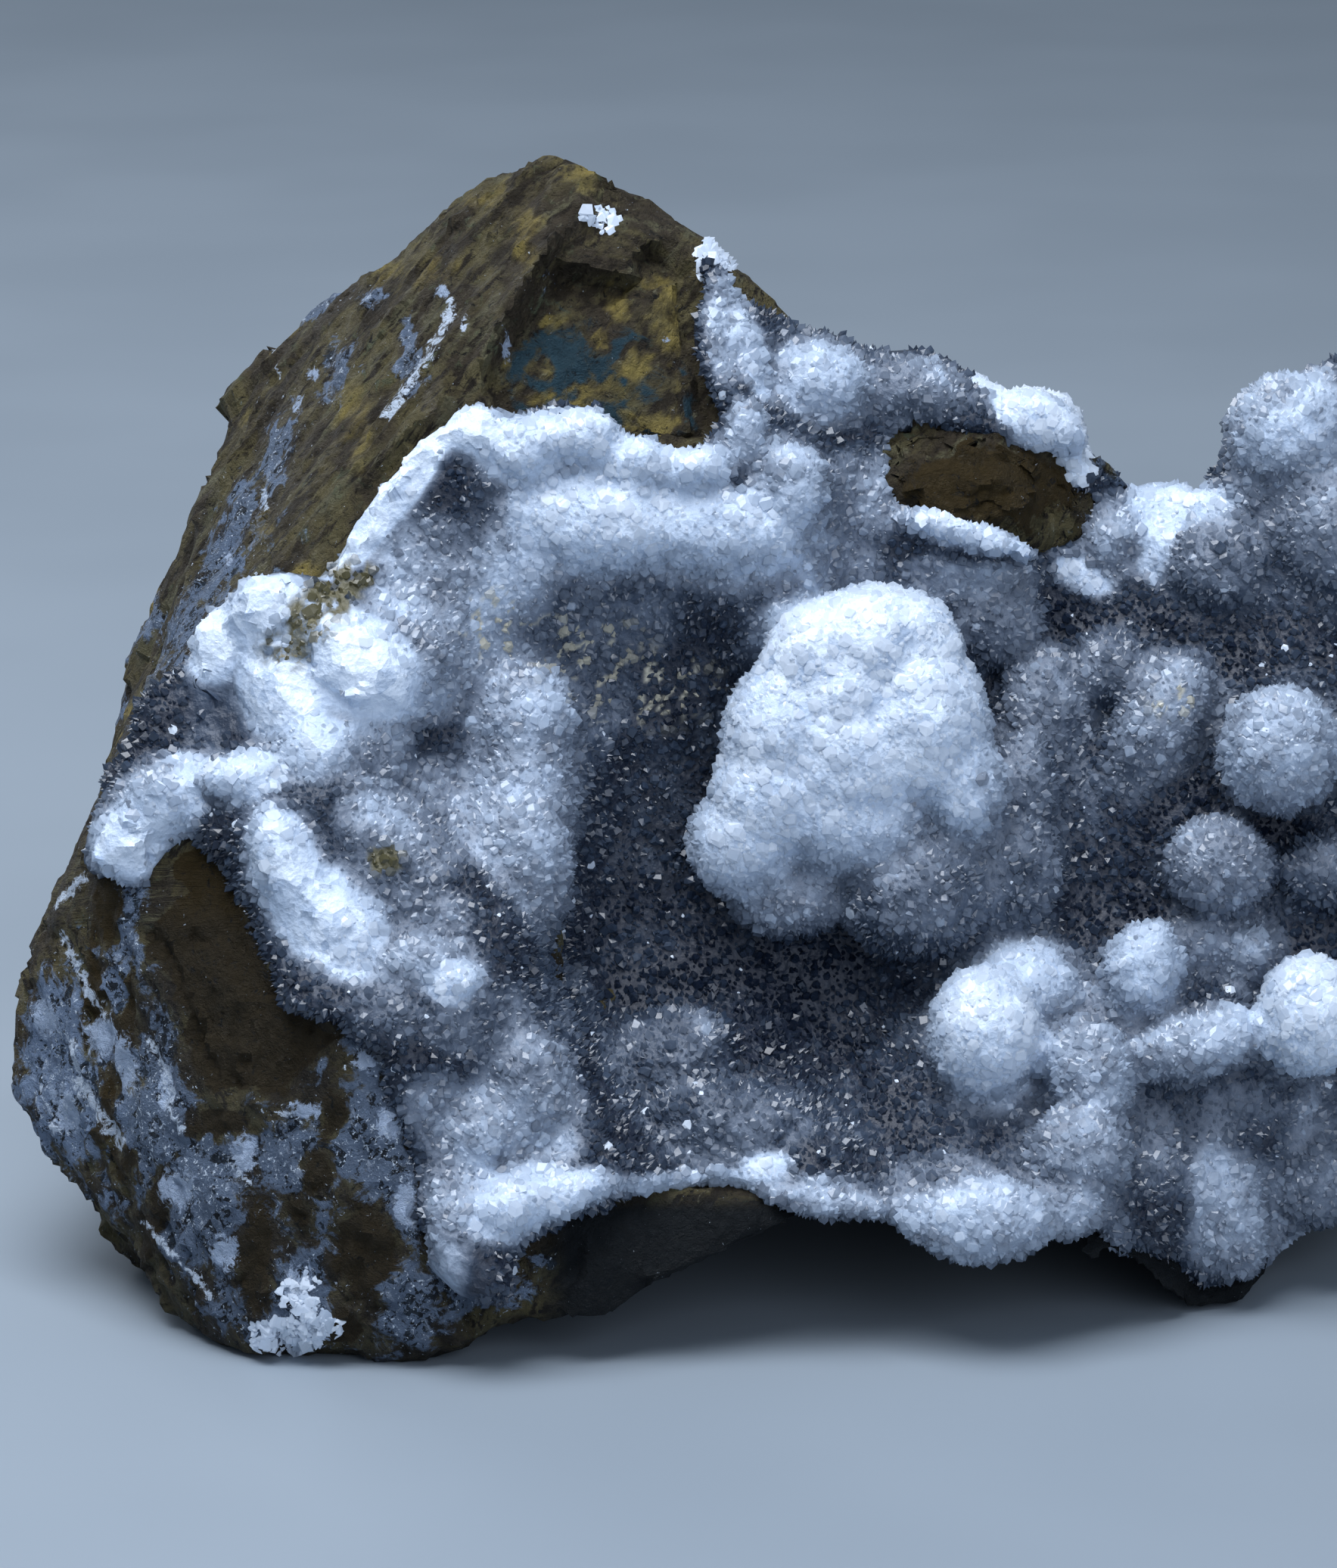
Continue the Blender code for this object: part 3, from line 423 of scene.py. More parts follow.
def soften(obj, rounds, strength=0.5):
    smooth = obj.modifiers.new("soften", "SMOOTH")
    smooth.iterations = rounds
    smooth.factor = strength
    return apply_modifiers(obj)


def keep_skin(obj, wanted):
    """Keeps the faces whose corners are all wanted."""
    bm = bmesh.new()
    bm.from_mesh(obj.data)
    dropped = [v for v, keep in zip(bm.verts, wanted) if not keep]
    bmesh.ops.delete(bm, geom=dropped, context="VERTS")
    bm.to_mesh(obj.data)
    bm.free()
    return obj


def buried(points, depth):
    """Which points lie more than depth mm inside the host rock."""
    solid = bmesh.new()
    solid.from_mesh(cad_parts["matrix_rock"].data)
    solid.transform(upright().inverted())
    shell = BVHTree.FromBMesh(solid)
    found = []
    for point in points:
        spot, facing, _, away = shell.find_nearest(Vector(point))
        found.append(away > depth and (Vector(point) - spot).dot(facing) < 0.0)
    solid.free()
    return np.array(found)


def paint(mesh, name, values):
    """Stores one number per corner point of a mesh, for its material to read."""
    layer = mesh.attributes.new(name, "FLOAT", "POINT")
    layer.data.foreach_set("value", np.clip(values, 0.0, 1.0).astype(np.float32))


def all_lumps():
    return (*WHITE_BOSS, *GREY_SKIRT, *KNOBS, *MOUNDS, *SHORE)


def druse_sheet(bm, thickness):
    """The plain druse between the lumps: a slab whose front stands off the rock."""
    xs, zs = np.arange(-55.5, 80.0, 0.8), np.arange(-49.5, 48.0, 0.8)
    x, z = [side.ravel() for side in np.meshgrid(xs, zs, indexing="ij")]
    cover, seat = ragged_cover(x, z), base_depth(x, z)
    rise = np.clip(cover / 1.1, -0.6, 1.0) * thickness
    rows = len(zs)
    fronts, backs = {}, {}
    for i in np.flatnonzero(cover > -0.8):
        fronts[i] = bm.verts.new((x[i], seat[i] - rise[i], z[i]))
        backs[i] = bm.verts.new((x[i], seat[i] + 3.0, z[i]))
    edges = {}
    for i in fronts:
        square = (i, i + rows, i + rows + 1, i + 1)
        if (i + 1) % rows == 0 or not all(corner in fronts for corner in square):
            continue
        bm.faces.new([fronts[corner] for corner in square])
        bm.faces.new([backs[corner] for corner in reversed(square)])
        for a, b in zip(square, (*square[1:], square[0])):
            edges[(a, b)] = True
    for a, b in edges:
        if (b, a) not in edges:
            bm.faces.new((fronts[b], fronts[a], backs[a], backs[b]))


def druse_lumps(bm):
    for across, up, half_width, half_height, proud, turn, _ in all_lumps():
        deep = 1.05 * min(half_width, half_height)
        seat = base_depth(np.array([float(across)]), np.array([float(up)]))[0]
        centre = Vector((across, seat - proud + deep, up))
        ellipsoid(bm, centre, (half_width, deep, half_height), turn)
        if proud > 1.6 * deep:
            root = Vector((across, seat, up))
            ellipsoid(bm, root, (0.8 * half_width, proud - deep, 0.8 * half_height), turn)
    across, depth, up, half_width, half_height = BACK_TUFT
    ellipsoid(bm, Vector((across, depth, up)), (half_width, half_height, half_height))


def milkiness_at(points):
    """How milky the quartz is, 0 clear and dark to 1 snow white, from the lumps it grew in, with painted
    light and shade: the upper side of each lump is made whiter and its lower side darker.
    """
    x, y, z = points.T
    seat = base_depth(x, z)
    total, weight = np.full(len(x), 0.1 * 0.12), np.full(len(x), 0.1)
    for across, up, half_width, half_height, proud, turn, milk in all_lumps():
        deep = 1.05 * min(half_width, half_height)
        centre = base_depth(np.array([float(across)]), np.array([float(up)]))[0] - proud + deep
        angle = math.radians(turn)
        dx, dz = x - across, z - up
        along = (dx * math.cos(angle) + dz * math.sin(angle)) / half_width
        aside = (dz * math.cos(angle) - dx * math.sin(angle)) / half_height
        reach = np.sqrt(along**2 + aside**2 + ((y - centre) / deep) ** 2)
        pull = np.exp(-9.0 * np.clip(reach - 1.0, 0.0, None)) * (reach < 2.4)
        tip = np.clip((centre - y) / deep, -0.3, 1.0)
        # Painted light and shade: the upper side of each lump is whiter and its lower side darker.
        painted_light_from_above = 0.08 * np.clip((z - up) / half_height, -1.0, 1.0)
        total += pull * (milk * (0.79 + 0.31 * tip) + painted_light_from_above)
        weight += pull
    for across, up, half_width, half_height, milk in SHALLOWS:
        reach = np.hypot((x - across) / half_width, (z - up) / half_height)
        pull = 0.9 * np.exp(-2.2 * reach**4) * np.clip((6.0 - seat + y) / 3.0, 0.0, 1.0)
        total += pull * milk
        weight += pull
    tuft = np.hypot(x - BACK_TUFT[0], z - BACK_TUFT[2]) < 6.5
    milk = np.where(tuft & (y > 10.0), 0.95, total / weight)
    milk += 0.14 * noise_at(points, 4.0, octaves=4, seed=9.0)
    return np.clip(milk, 0.0, 1.0)


def buff_at(points):
    """How much iron stain threads the druse at a place, 0 to 1."""
    x, _, z = points.T
    return patch_share(BUFF_THREADS, x, z) * (np.abs(noise_at(points, 2.6, 4, 4.0)) < 0.08)


def stain_at(points):
    """How much of the rock's own colour shows in the massive quartz, 0 to 1."""
    x, _, z = points.T
    grain = noise_at(points, 1.0, octaves=2, seed=5.0)
    return patch_share(STAINED_QUARTZ, x, z, 0.6) * np.clip(0.95 + 1.3 * grain, 0.0, 1.0)


def point_cloud(points, out, spacing, rng):
    """Picks places about one spacing apart from a dense cloud."""
    order = rng.permutation(len(points))
    turned = points[order] @ np.array(Matrix.Rotation(0.6, 3, (0.5, 0.7, 0.5))).T
    cells = np.floor(turned / spacing).astype(np.int64) + 4096
    keys = cells[:, 0] + 8192 * cells[:, 1] + 8192 * 8192 * cells[:, 2]
    _, first = np.unique(keys, return_index=True)
    picked = order[first]
    places, up = points[picked], out[picked]
    nudge = rng.uniform(-0.45, 0.45, places.shape) * spacing
    return places + nudge - (nudge * up).sum(1)[:, None] * up, up


def soften_facets(mesh, out, milk):
    """Leans the facets' shading towards the druse under them, as light in milky quartz does."""
    evened = CLOUDINESS * np.clip(0.2 + 1.2 * milk, 0.2, 1.2)[:, None]
    facing = np.empty(len(mesh.polygons) * 3, np.float32)
    mesh.polygons.foreach_get("normal", facing)
    leaning = (1.0 - evened) * facing.reshape(-1, 3) + evened * out
    leaning /= np.linalg.norm(leaning, axis=1, keepdims=True)
    mesh.normals_split_custom_set(np.repeat(leaning, 3, axis=0))


def quartz_points(name, places, out, radius, height, milk, rng, collar=False):
    """One mesh of quartz points: six faces, three of them broad, meet in an off-centre tip."""
    count = len(places)
    lean = rng.normal(0.0, 0.2, (count, 3))
    axis = out + lean
    axis /= np.linalg.norm(axis, axis=1, keepdims=True)
    helper = np.where(np.abs(axis[:, 2:3]) < 0.9, [[0.0, 0.0, 1.0]], [[1.0, 0.0, 0.0]])
    side = np.cross(axis, helper)
    side /= np.linalg.norm(side, axis=1, keepdims=True)
    other = np.cross(axis, side)
    spin = rng.uniform(0.0, math.pi, count)[:, None] + np.arange(6) * math.pi / 3.0
    width = radius[:, None] * rng.uniform(0.82, 1.14, (count, 6))
    ring = (np.cos(spin) * width)[..., None] * side[:, None] \
        + (np.sin(spin) * width)[..., None] * other[:, None]
    foot = places[:, None] + ring * 1.04 - axis[:, None] * 0.35
    tip_shift = rng.normal(0.0, 0.16, (count, 2)) * radius[:, None]
    tip = places + axis * height[:, None] + side * tip_shift[:, :1] + other * tip_shift[:, 1:]
    dip = axis[:, None] * height[:, None, None] * np.array([0.0, 0.8] * 3)[:, None]
    rings = [foot - dip]
    if collar:
        band = places[:, None] + ring + axis[:, None] * (0.42 * height)[:, None, None]
        rings.append(band - 0.45 * dip)
    per = 6 * len(rings) + 1
    verts = np.concatenate([*rings, tip[:, None]], axis=1).reshape(-1, 3)
    turn = np.roll(np.arange(6), -1)
    tops = np.stack([np.arange(6), turn, np.full(6, 6)], axis=1) + 6 * (len(rings) - 1)
    tops[:, 2] = per - 1
    faces = [tops]
    if collar:
        low, next_low = np.arange(6), turn
        faces.append(np.stack([low, next_low, next_low + 6], axis=1))
        faces.append(np.stack([low, next_low + 6, low + 6], axis=1))
    pattern = np.concatenate(faces)
    corners = (pattern[None] + (np.arange(count) * per)[:, None, None]).reshape(-1)
    mesh = bpy.data.meshes.new(name)
    mesh.vertices.add(len(verts))
    mesh.vertices.foreach_set("co", verts.astype(np.float32).ravel())
    mesh.loops.add(len(corners))
    mesh.loops.foreach_set("vertex_index", corners.astype(np.int32))
    mesh.polygons.add(len(corners) // 3)
    mesh.polygons.foreach_set("loop_start", np.arange(0, len(corners), 3, dtype=np.int32))
    mesh.update(calc_edges=True)
    mesh.shade_flat()
    soften_facets(mesh, *[np.repeat(values, len(pattern), axis=0) for values in (out, milk)])
    return link(name, mesh), per


def grow_on(name, places, out, reach, height, milk, rng, collar=False):
    """Quartz points on given places, each with its own size and its own milkiness."""
    count = len(places)
    radius = reach * rng.uniform(0.62, 0.95, count)
    tall = height * rng.uniform(0.5, 1.2, count) * (1.2 - 0.5 * np.clip(milk, 0.0, 1.0))
    obj, per = quartz_points(name, places, out, radius, tall, milk, rng, collar)
    each = milk + rng.normal(0.0, 1.0, count) * (0.035 + 0.03 * milk)
    paint(obj.data, "milk", np.repeat(each, per))
    paint(obj.data, "buff", np.repeat(buff_at(places), per))
    paint(obj.data, "stain", np.repeat(stain_at(places), per))
    return obj


def add_node(tree, kind, inputs=None, **settings):
    """Adds a node, sets it up, and fills or links its inputs."""
    made = tree.nodes.new(kind)
    for key, value in settings.items():
        setattr(made, key, value)
    for key, value in (inputs or {}).items():
        if isinstance(value, bpy.types.NodeSocket):
            tree.links.new(value, made.inputs[key])
        else:
            made.inputs[key].default_value = value
    return made


def start_material(name):
    """A material with nothing but its output and its Principled shader."""
    material = bpy.data.materials.new(name)
    material.use_nodes = True
    tree = material.node_tree
    shader = tree.nodes["Principled BSDF"]
    return material, tree, shader


def lay_over(tree, colour, layers):
    """Lays colours over a first one, each where its value runs from low to high."""
    for value, low, high, code in layers:
        share = add_node(tree, "ShaderNodeMapRange", {0: value, 1: low, 2: high},
                         interpolation_type="SMOOTHSTEP").outputs[0]
        top = code if isinstance(code, bpy.types.NodeSocket) else (*srgb(code), 1.0)
        colour = add_node(tree, "ShaderNodeMix", {0: share, 6: colour, 7: top},
                          data_type="RGBA").outputs[2]
    return colour


def weathered_rhyolite(settings):
    """Weathered, silicified volcanic rock, broken by hand: dull brown and olive with dark
    beds, blue-grey chalcedony patches and hair-thin white veins; dry and rough to the eye."""
    material, tree, shader = start_material("weathered_rhyolite")
    place = add_node(tree, "ShaderNodeTexCoord").outputs["Object"]
    mark = {name: add_node(tree, "ShaderNodeAttribute", attribute_name=name).outputs["Fac"]
            for name in ROCK_MARKS}
    upper, lower = [add_node(tree, "ShaderNodeMapping", {
        "Vector": place, "Rotation": (0.0, math.radians(turn), 0.0), "Scale": (1.0, 1.4, 4.2),
    }, vector_type="TEXTURE").outputs[0] for turn in (38.0, -31.0)]
    beds = add_node(tree, "ShaderNodeMix", {0: mark["foot"], 4: upper, 5: lower},
                    data_type="VECTOR").outputs[1]
    grain = {}
    for name, where, size_mm, detail, rough in (
            ("broad", place, 7.0, 6.0, 0.65), ("band", beds, 2.4, 5.0, 0.62),
            ("streak", beds, 0.8, 5.0, 0.65), ("crumb", place, 2.2, 7.0, 0.7),
            ("grit", place, 0.9, 5.0, 0.75), ("speck", place, 0.4, 3.0, 0.7)):
        grain[name] = add_node(tree, "ShaderNodeTexNoise", {
            "Vector": where, "Scale": 1.0 / (size_mm * MM), "Detail": detail,
            "Roughness": rough, "Distortion": 0.2 if where == beds else 0.6,
        }).outputs[0]
    spread = {}
    for name, amount, texture in (
            ("gold", 0.38, "band"), ("earth", 0.6, "crumb"), ("slate", 0.5, "crumb"),
            ("teal", 0.5, "crumb"), ("pale", 0.58, "grit"), ("chalk", 0.46, "grit")):
        spread[name] = add_node(tree, "ShaderNodeMath", {
            0: mark[name], 1: amount, 2: grain[texture],
        }, operation="MULTIPLY_ADD").outputs[0]
    frost = add_node(tree, "ShaderNodeMath", {0: mark["slate"], 1: 0.12, 2: grain["speck"]},
                     operation="MULTIPLY_ADD").outputs[0]
    splinters = add_node(tree, "ShaderNodeTexVoronoi", {
        "Vector": place, "Scale": 1.0 / (1.5 * MM), "Detail": 3.0, "Roughness": 0.7,
    }).outputs[1]
    cell = add_node(tree, "ShaderNodeSeparateColor", {0: splinters}).outputs[0]
    bluish = lay_over(tree, (*srgb("#151b25"), 1.0), (
        (grain["grit"], 0.42, 0.54, settings.slate), (grain["crumb"], 0.57, 0.7, "#4b5c73"),
        (grain["crumb"], 0.46, 0.4, "#161d27"), (grain["band"], 0.5, 0.42, "#1a212b"),
        (cell, 0.45, 0.25, "#141a24"), (cell, 0.84, 0.97, "#71829b"),
        (grain["streak"], 0.57, 0.7, "#a0aec3")))
    colour = lay_over(tree, (*srgb(settings.brown), 1.0), (
        (grain["broad"], 0.42, 0.6, settings.ochre), (grain["band"], 0.53, 0.66, "#5b5843"),
        (grain["crumb"], 0.56, 0.7, "#4f5542"), (grain["band"], 0.47, 0.36, "#2a241a"),
        (grain["streak"], 0.48, 0.37, "#241e16"), (grain["streak"], 0.61, 0.78, "#7d7a64"),
        (spread["teal"], 0.8, 1.0, "#28434f"), (spread["earth"], 0.78, 0.9, "#33280f"),
        (spread["slate"], 0.72, 0.84, bluish),
        (spread["gold"], 0.7, 1.0, "#827440"), (grain["grit"], 0.42, 0.34, "#12110e"),
        # Near black where the "shade" mark is: painted shade under the arch and on the set-back face, and
        # a darker tone in the slate patches and the foot.
        (mark["shade"], 0.0, 1.05, "#0d1216"), (spread["pale"], 0.84, 0.96, "#a1b1c9"),
        (spread["chalk"], 0.86, 0.98, settings.vein), (frost, 0.7, 0.76, "#c3cfde")))
    tree.links.new(colour, shader.inputs["Base Color"])
    rough = add_node(tree, "ShaderNodeMapRange", {0: grain["crumb"], 1: 0.35, 2: 0.65, 3: 0.45,
                                                  4: 0.85}).outputs[0]
    tree.links.new(rough, shader.inputs["Roughness"])
    relief = grain["crumb"]
    for texture, amount in (("streak", 0.5), ("grit", 1.0), ("speck", 0.4)):
        relief = add_node(tree, "ShaderNodeMath", {0: grain[texture], 1: amount, 2: relief},
                          operation="MULTIPLY_ADD").outputs[0]
    bump = add_node(tree, "ShaderNodeBump", {
        "Height": relief, "Strength": 1.0, "Distance": 0.75 * MM,
    })
    tree.links.new(bump.outputs[0], shader.inputs["Normal"])
    shader.inputs["IOR"].default_value = 1.5
    shader.inputs["Specular IOR Level"].default_value = 0.2
    return material


def broken_body(tree, place, colour, milk, stain, crumb, shader):
    """Where quartz is massive it breaks into small uneven flats, each a shade of its own."""
    splinters = add_node(tree, "ShaderNodeTexVoronoi", {
        "Vector": place, "Scale": 1.0 / (1.8 * MM), "Detail": 2.0, "Roughness": 0.5,
    })
    tint = add_node(tree, "ShaderNodeSeparateColor", {0: splinters.outputs[1]}).outputs[0]
    shade = add_node(tree, "ShaderNodeMath", {0: tint, 1: milk}, operation="MULTIPLY").outputs[0]
    rust = add_node(tree, "ShaderNodeMath", {0: stain, 1: crumb}, operation="MULTIPLY").outputs[0]
    height = add_node(tree, "ShaderNodeMath", {0: crumb, 1: 0.8, 2: splinters.outputs[0]},
                      operation="MULTIPLY_ADD").outputs[0]
    bump = add_node(tree, "ShaderNodeBump", {
        "Height": height, "Strength": 0.5, "Distance": 0.5 * MM}).outputs[0]
    tree.links.new(bump, shader.inputs["Normal"])
    return lay_over(tree, colour, (
        (shade, 0.5, 1.9, "#8ea3bf"), (rust, 0.42, 0.62, "#6d6648")))


def druse_quartz(settings, name, transmission, rough):
    """Quartz, grown in the open: hard, glassy points, clear where they stand over dark rock
    and milky where they are thick, so each facet is a small mirror on a cloudy body."""
    material, tree, shader = start_material(name)
    place = add_node(tree, "ShaderNodeTexCoord").outputs["Object"]
    milk, buff, stain = [add_node(tree, "ShaderNodeAttribute", attribute_name=mark).outputs["Fac"]
                         for mark in ("milk", "buff", "stain")]
    cloud, crumb = [add_node(tree, "ShaderNodeTexNoise", {
        "Vector": place, "Scale": 1.0 / (size_mm * MM), "Detail": 4.0, "Roughness": 0.65,
    }).outputs[0] for size_mm in (1.6, 0.7)]
    wavering = add_node(tree, "ShaderNodeMath", {0: cloud, 1: 0.34, 2: milk},
                        operation="MULTIPLY_ADD").outputs[0]
    thickness = add_node(tree, "ShaderNodeMath", {0: wavering, 1: 0.17},
                         operation="SUBTRACT").outputs[0]
    ramp = add_node(tree, "ShaderNodeValToRGB", {0: thickness})
    for index, (at, code) in enumerate((
            (0.0, settings.clear), (0.22, "#394659"), (0.45, "#747f90"), (0.7, "#b9c9de"),
            (1.0, settings.snow))):
        stops = ramp.color_ramp.elements
        stop = stops[index] if index < 2 else stops.new(at)
        stop.position, stop.color = at, (*srgb(code), 1.0)
    colour = lay_over(tree, ramp.outputs[0], (
        (buff, 0.0, 1.2, "#c0bcaa"), (stain, 0.25, 0.75, "#514d33")))
    if not transmission:
        colour = broken_body(tree, place, colour, milk, stain, crumb, shader)
    tree.links.new(colour, shader.inputs["Base Color"])
    shader.inputs["Roughness"].default_value = rough
    shader.inputs["IOR"].default_value = 1.544
    shader.inputs["Transmission Weight"].default_value = transmission
    return material


def studio_board():
    """Matt painted board, pale blue-grey, as even as paper to the eye."""
    material, tree, shader = start_material("studio_board_matt_paint")
    place = add_node(tree, "ShaderNodeTexCoord").outputs["Object"]
    tone = add_node(tree, "ShaderNodeTexNoise", {
        "Vector": place, "Scale": 1.0 / (60.0 * MM), "Detail": 2.0}).outputs[0]
    board = bpy.context.scene.specimen_stage.board
    painted = lay_over(tree, (*srgb(board), 1.0), ((tone, 0.3, 0.7, "#8c97a2"),))
    tree.links.new(painted, shader.inputs["Base Color"])
    shader.inputs["Roughness"].default_value = 0.55
    return material


class HostRockSettings(bpy.types.PropertyGroup):
    grain: bpy.props.FloatProperty(
        name="Grain", description="Size of the faces of the finished rock",
        default=0.69 * MM, min=0.3 * MM, unit="LENGTH")
    relief: bpy.props.FloatProperty(
        name="Relief", description="Depth of the chips and steps in the broken rock",
        default=1.0 * MM, min=0.0, unit="LENGTH")
    ochre: bpy.props.StringProperty(
        name="Ochre", description="Iron-stained weathered colour", default="#575036")
    brown: bpy.props.StringProperty(
        name="Brown", description="Fresher rock colour", default="#383126")
    slate: bpy.props.StringProperty(
        name="Slate", description="Blue-grey chalcedony patches", default="#2e3b49")
    vein: bpy.props.StringProperty(
        name="Vein", description="White quartz veins", default="#c8d5e6")


class DruseSettings(bpy.types.PropertyGroup):
    grain: bpy.props.FloatProperty(
        name="Grain", description="Size of the faces of the crust under the points",
        default=0.5 * MM, min=0.3 * MM, unit="LENGTH")
    thickness: bpy.props.FloatProperty(
        name="Thickness", description="Thickness of the plain crust between the lumps",
        default=2.2 * MM, min=0.5 * MM, unit="LENGTH")
    spacing: bpy.props.FloatProperty(
        name="Point spacing", description="Distance between neighbouring quartz points",
        default=0.58 * MM, min=0.3 * MM, unit="LENGTH")
    height: bpy.props.FloatProperty(
        name="Point height", description="How far a typical point stands out",
        default=0.4 * MM, min=0.1 * MM, unit="LENGTH")
    clear: bpy.props.StringProperty(
        name="Clear", description="Clear quartz over dark rock", default="#141e30")
    snow: bpy.props.StringProperty(
        name="Snow", description="The milkiest quartz", default="#e3eefc")
    seed: bpy.props.IntProperty(
        name="Seed", description="Which of many like druses is grown", default=11, min=0)


class StageSettings(bpy.types.PropertyGroup):
    distance: bpy.props.FloatProperty(
        name="Camera distance", description="From the middle of the druse",
        default=0.6, min=0.2, unit="LENGTH")
    view_height: bpy.props.FloatProperty(
        name="View height", description="Height of the picture at the druse",
        default=0.1295, min=0.02, unit="LENGTH")
    board: bpy.props.StringProperty(
        name="Board", description="Colour of the floor", default="#87929d")
    key: bpy.props.FloatProperty(
        name="Key light", description="Power of the large soft light overhead",
        default=5.3, min=0.0, unit="POWER")


class SPECIMEN_OT_host_rock(bpy.types.Operator):
    """Breaks the surface of the rock into chips, steps and veins"""
    bl_idname = "specimen.host_rock"
    bl_label = "Host rock"

    def execute(self, context):
        settings = context.scene.specimen_rock
        rock = link("host_rock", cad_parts["matrix_rock"].data.copy())
        rock.data.materials.clear()
        rock.data.attributes.active = None
        rock.data.transform(upright().inverted())
        fuse(rock, settings.grain / MM)
        soften(rock, 2)
        points, out = coordinates(rock.data), normals(rock.data)
        for size, stretch, share, seed in ((9.0, 3.0, 0.75, 1.0), (3.6, 2.6, 0.7, 4.0)):
            flats = [broken_flats(points, out, size, beds, stretch, share, seed)
                     for beds in (UPPER_BEDS, FOOT_BEDS)]
            foot = foot_share(points)[:, None]
            points = (1.0 - foot) * flats[0] + foot * flats[1]
        x, y, z = points.T
        foot = foot_share(points)
        upper = 1.0 - 2.2 * np.abs(noise_at(along_beds(points, UPPER_BEDS, 14.0), 2.6, seed=6.0))
        lower = 1.0 - 2.2 * np.abs(noise_at(along_beds(points, FOOT_BEDS, 8.0), 2.6, seed=7.0))
        side_on = np.clip(0.4 - 1.6 * (out[:, 0] + 0.25), 0.1, 1.0)
        push = 0.07 * chipped(points, 3.0, 3.0) + 0.12 * noise_at(points, 2.0, 5, 2.0)
        push += foot * (0.2 * chipped(points, 2.2, 6.0) + 0.3 * noise_at(points, 1.7, 4, 5.0))
        push += 0.42 * side_on * (foot * lower + (1.0 - foot) * upper) - 0.2
        seat = base_depth(x, z)
        near_window = inside_distance(ROCK_WINDOW, x, z) > -1.5
        push[near_window] += 0.45 * chipped(points[near_window], 2.6, 9.0)
        points[:, 1] = np.where(near_window & (y < seat + 4.0), np.maximum(y, seat - 0.9), y)
        front = y < seat + 6.0
        saddle = np.exp(-((x - 43.0) / 6.0) ** 2) * np.clip((y - 8.0) / 5.0, 0.0, 1.0)
        points[:, 2] -= 2.4 * saddle * np.clip((z - 18.0) / 5.0, 0.0, 1.0)
        crest = line_distance(x, z, *DARK_TRIANGLE[:2])
        push += 0.9 * front * np.clip(1.0 - crest / 1.6, 0.0, 1.0)
        for ring, depth in SETBACKS:
            push -= depth * front * np.clip(0.35 + inside_distance(ring, x, z) / 0.8, 0.0, 1.0)
        push *= settings.relief / MM * np.clip(above_table(points) / 1.5, 0.0, 1.0)
        set_coordinates(rock.data, points + out * push[:, None])
        seen = np.clip((26.0 - y) / 10.0, 0.0, 1.0)
        chalk = np.zeros_like(x)
        wander = noise_at(points, 2.6, octaves=4, seed=20.0)
        wx, wz = x + 1.2 * wander, z + 1.2 * noise_at(points, 2.6, octaves=4, seed=24.0)
        for half_width, *places in QUARTZ_VEINS:
            away = np.full(len(x), 9.0)
            for a, b in zip(places, places[1:]):
                away = np.minimum(away, line_distance(x + 0.4 * wander, z, a, b))
            chalk = np.maximum(chalk, np.clip(1.3 - away / (half_width + 0.3), 0.0, 1.0))
        earth = np.maximum(patch_share(EARTH_PATCHES, wx, wz, 0.5), 1.4 * np.clip(
            0.4 + inside_distance(BROWN_WINDOW, wx, wz), 0.0, 1.0))
        slate = patch_share(SLATE_PATCHES, wx, wz, 0.7) * (1.0 - np.clip(earth, 0.0, 1.0))
        triangle = np.clip(inside_distance(DARK_TRIANGLE, x, z) / 2.0, 0.0, 1.0) * front
        slate *= 1.0 - triangle
        far_slate, far_gold, far_vein = [
            noise_at(points + 0.8 * wander[:, None], size, octaves=3, seed=seed)
            for size, seed in ((11.0, 31.0), (8.0, 32.0), (14.0, 33.0))]
        far_vein = np.abs(far_vein) + 0.4 * np.clip(far_slate, 0.0, 1.0)
        paint(rock.data, "foot", foot)
        slate = seen * slate + (1.0 - seen) * np.clip(0.12 + 1.9 * far_slate, 0.0, 1.0)
        paint(rock.data, "slate", slate)
        paint(rock.data, "pale", patch_share(PALE_PATCHES, x + 0.5 * wander, z, 0.7) * seen)
        glow = 0.15 + 3.0 * noise_at(points, 3.2, octaves=3, seed=40.0)
        gold = np.maximum(patch_share(GOLD_PATCHES, wx, wz, 0.7), 0.9 * triangle * glow) * seen
        paint(rock.data, "gold", gold + (1.0 - seen) * np.clip(2.0 * far_gold - 0.5, 0.0, 1.0))
        paint(rock.data, "earth", earth * seen)
        chalk = np.maximum(chalk, patch_share(STRAY_DRUSE, x + 0.4 * wander, z, 0.5))
        chalk = seen * chalk + (1.0 - seen) * np.clip(1.0 - far_vein / 0.035, 0.0, 1.0)
        paint(rock.data, "chalk", chalk)
        # Painted shade: under the lip and in the arch below the druse the rock is darkened nearly to
        # black, standing in for the shadowed cavity there.
        under = np.clip((y - seat - 1.0) / 1.5, 0.0, 1.0) * np.clip((x + 10.0) / 4.0, 0.0, 1.0)
        under *= np.clip((-31.0 - z) / 3.0, 0.0, 1.0)
        brink = np.clip((-32.6 - z) / 2.0, 0.0, 1.0) * np.clip((x + 12.0) / 4.0, 0.0, 1.0)
        under = np.maximum(under, brink)
        # The foot is made darker overall.
        sole = 0.46 * foot * seen * np.clip((x + 48.0) / 5.0, 0.0, 1.0)
        triangle *= np.clip((43.0 - z) / 5.0, 0.1, 1.0)
        triangle *= 1.0 - 0.8 * np.clip(gold, 0.0, 1.0)
        paint(rock.data, "teal", triangle)
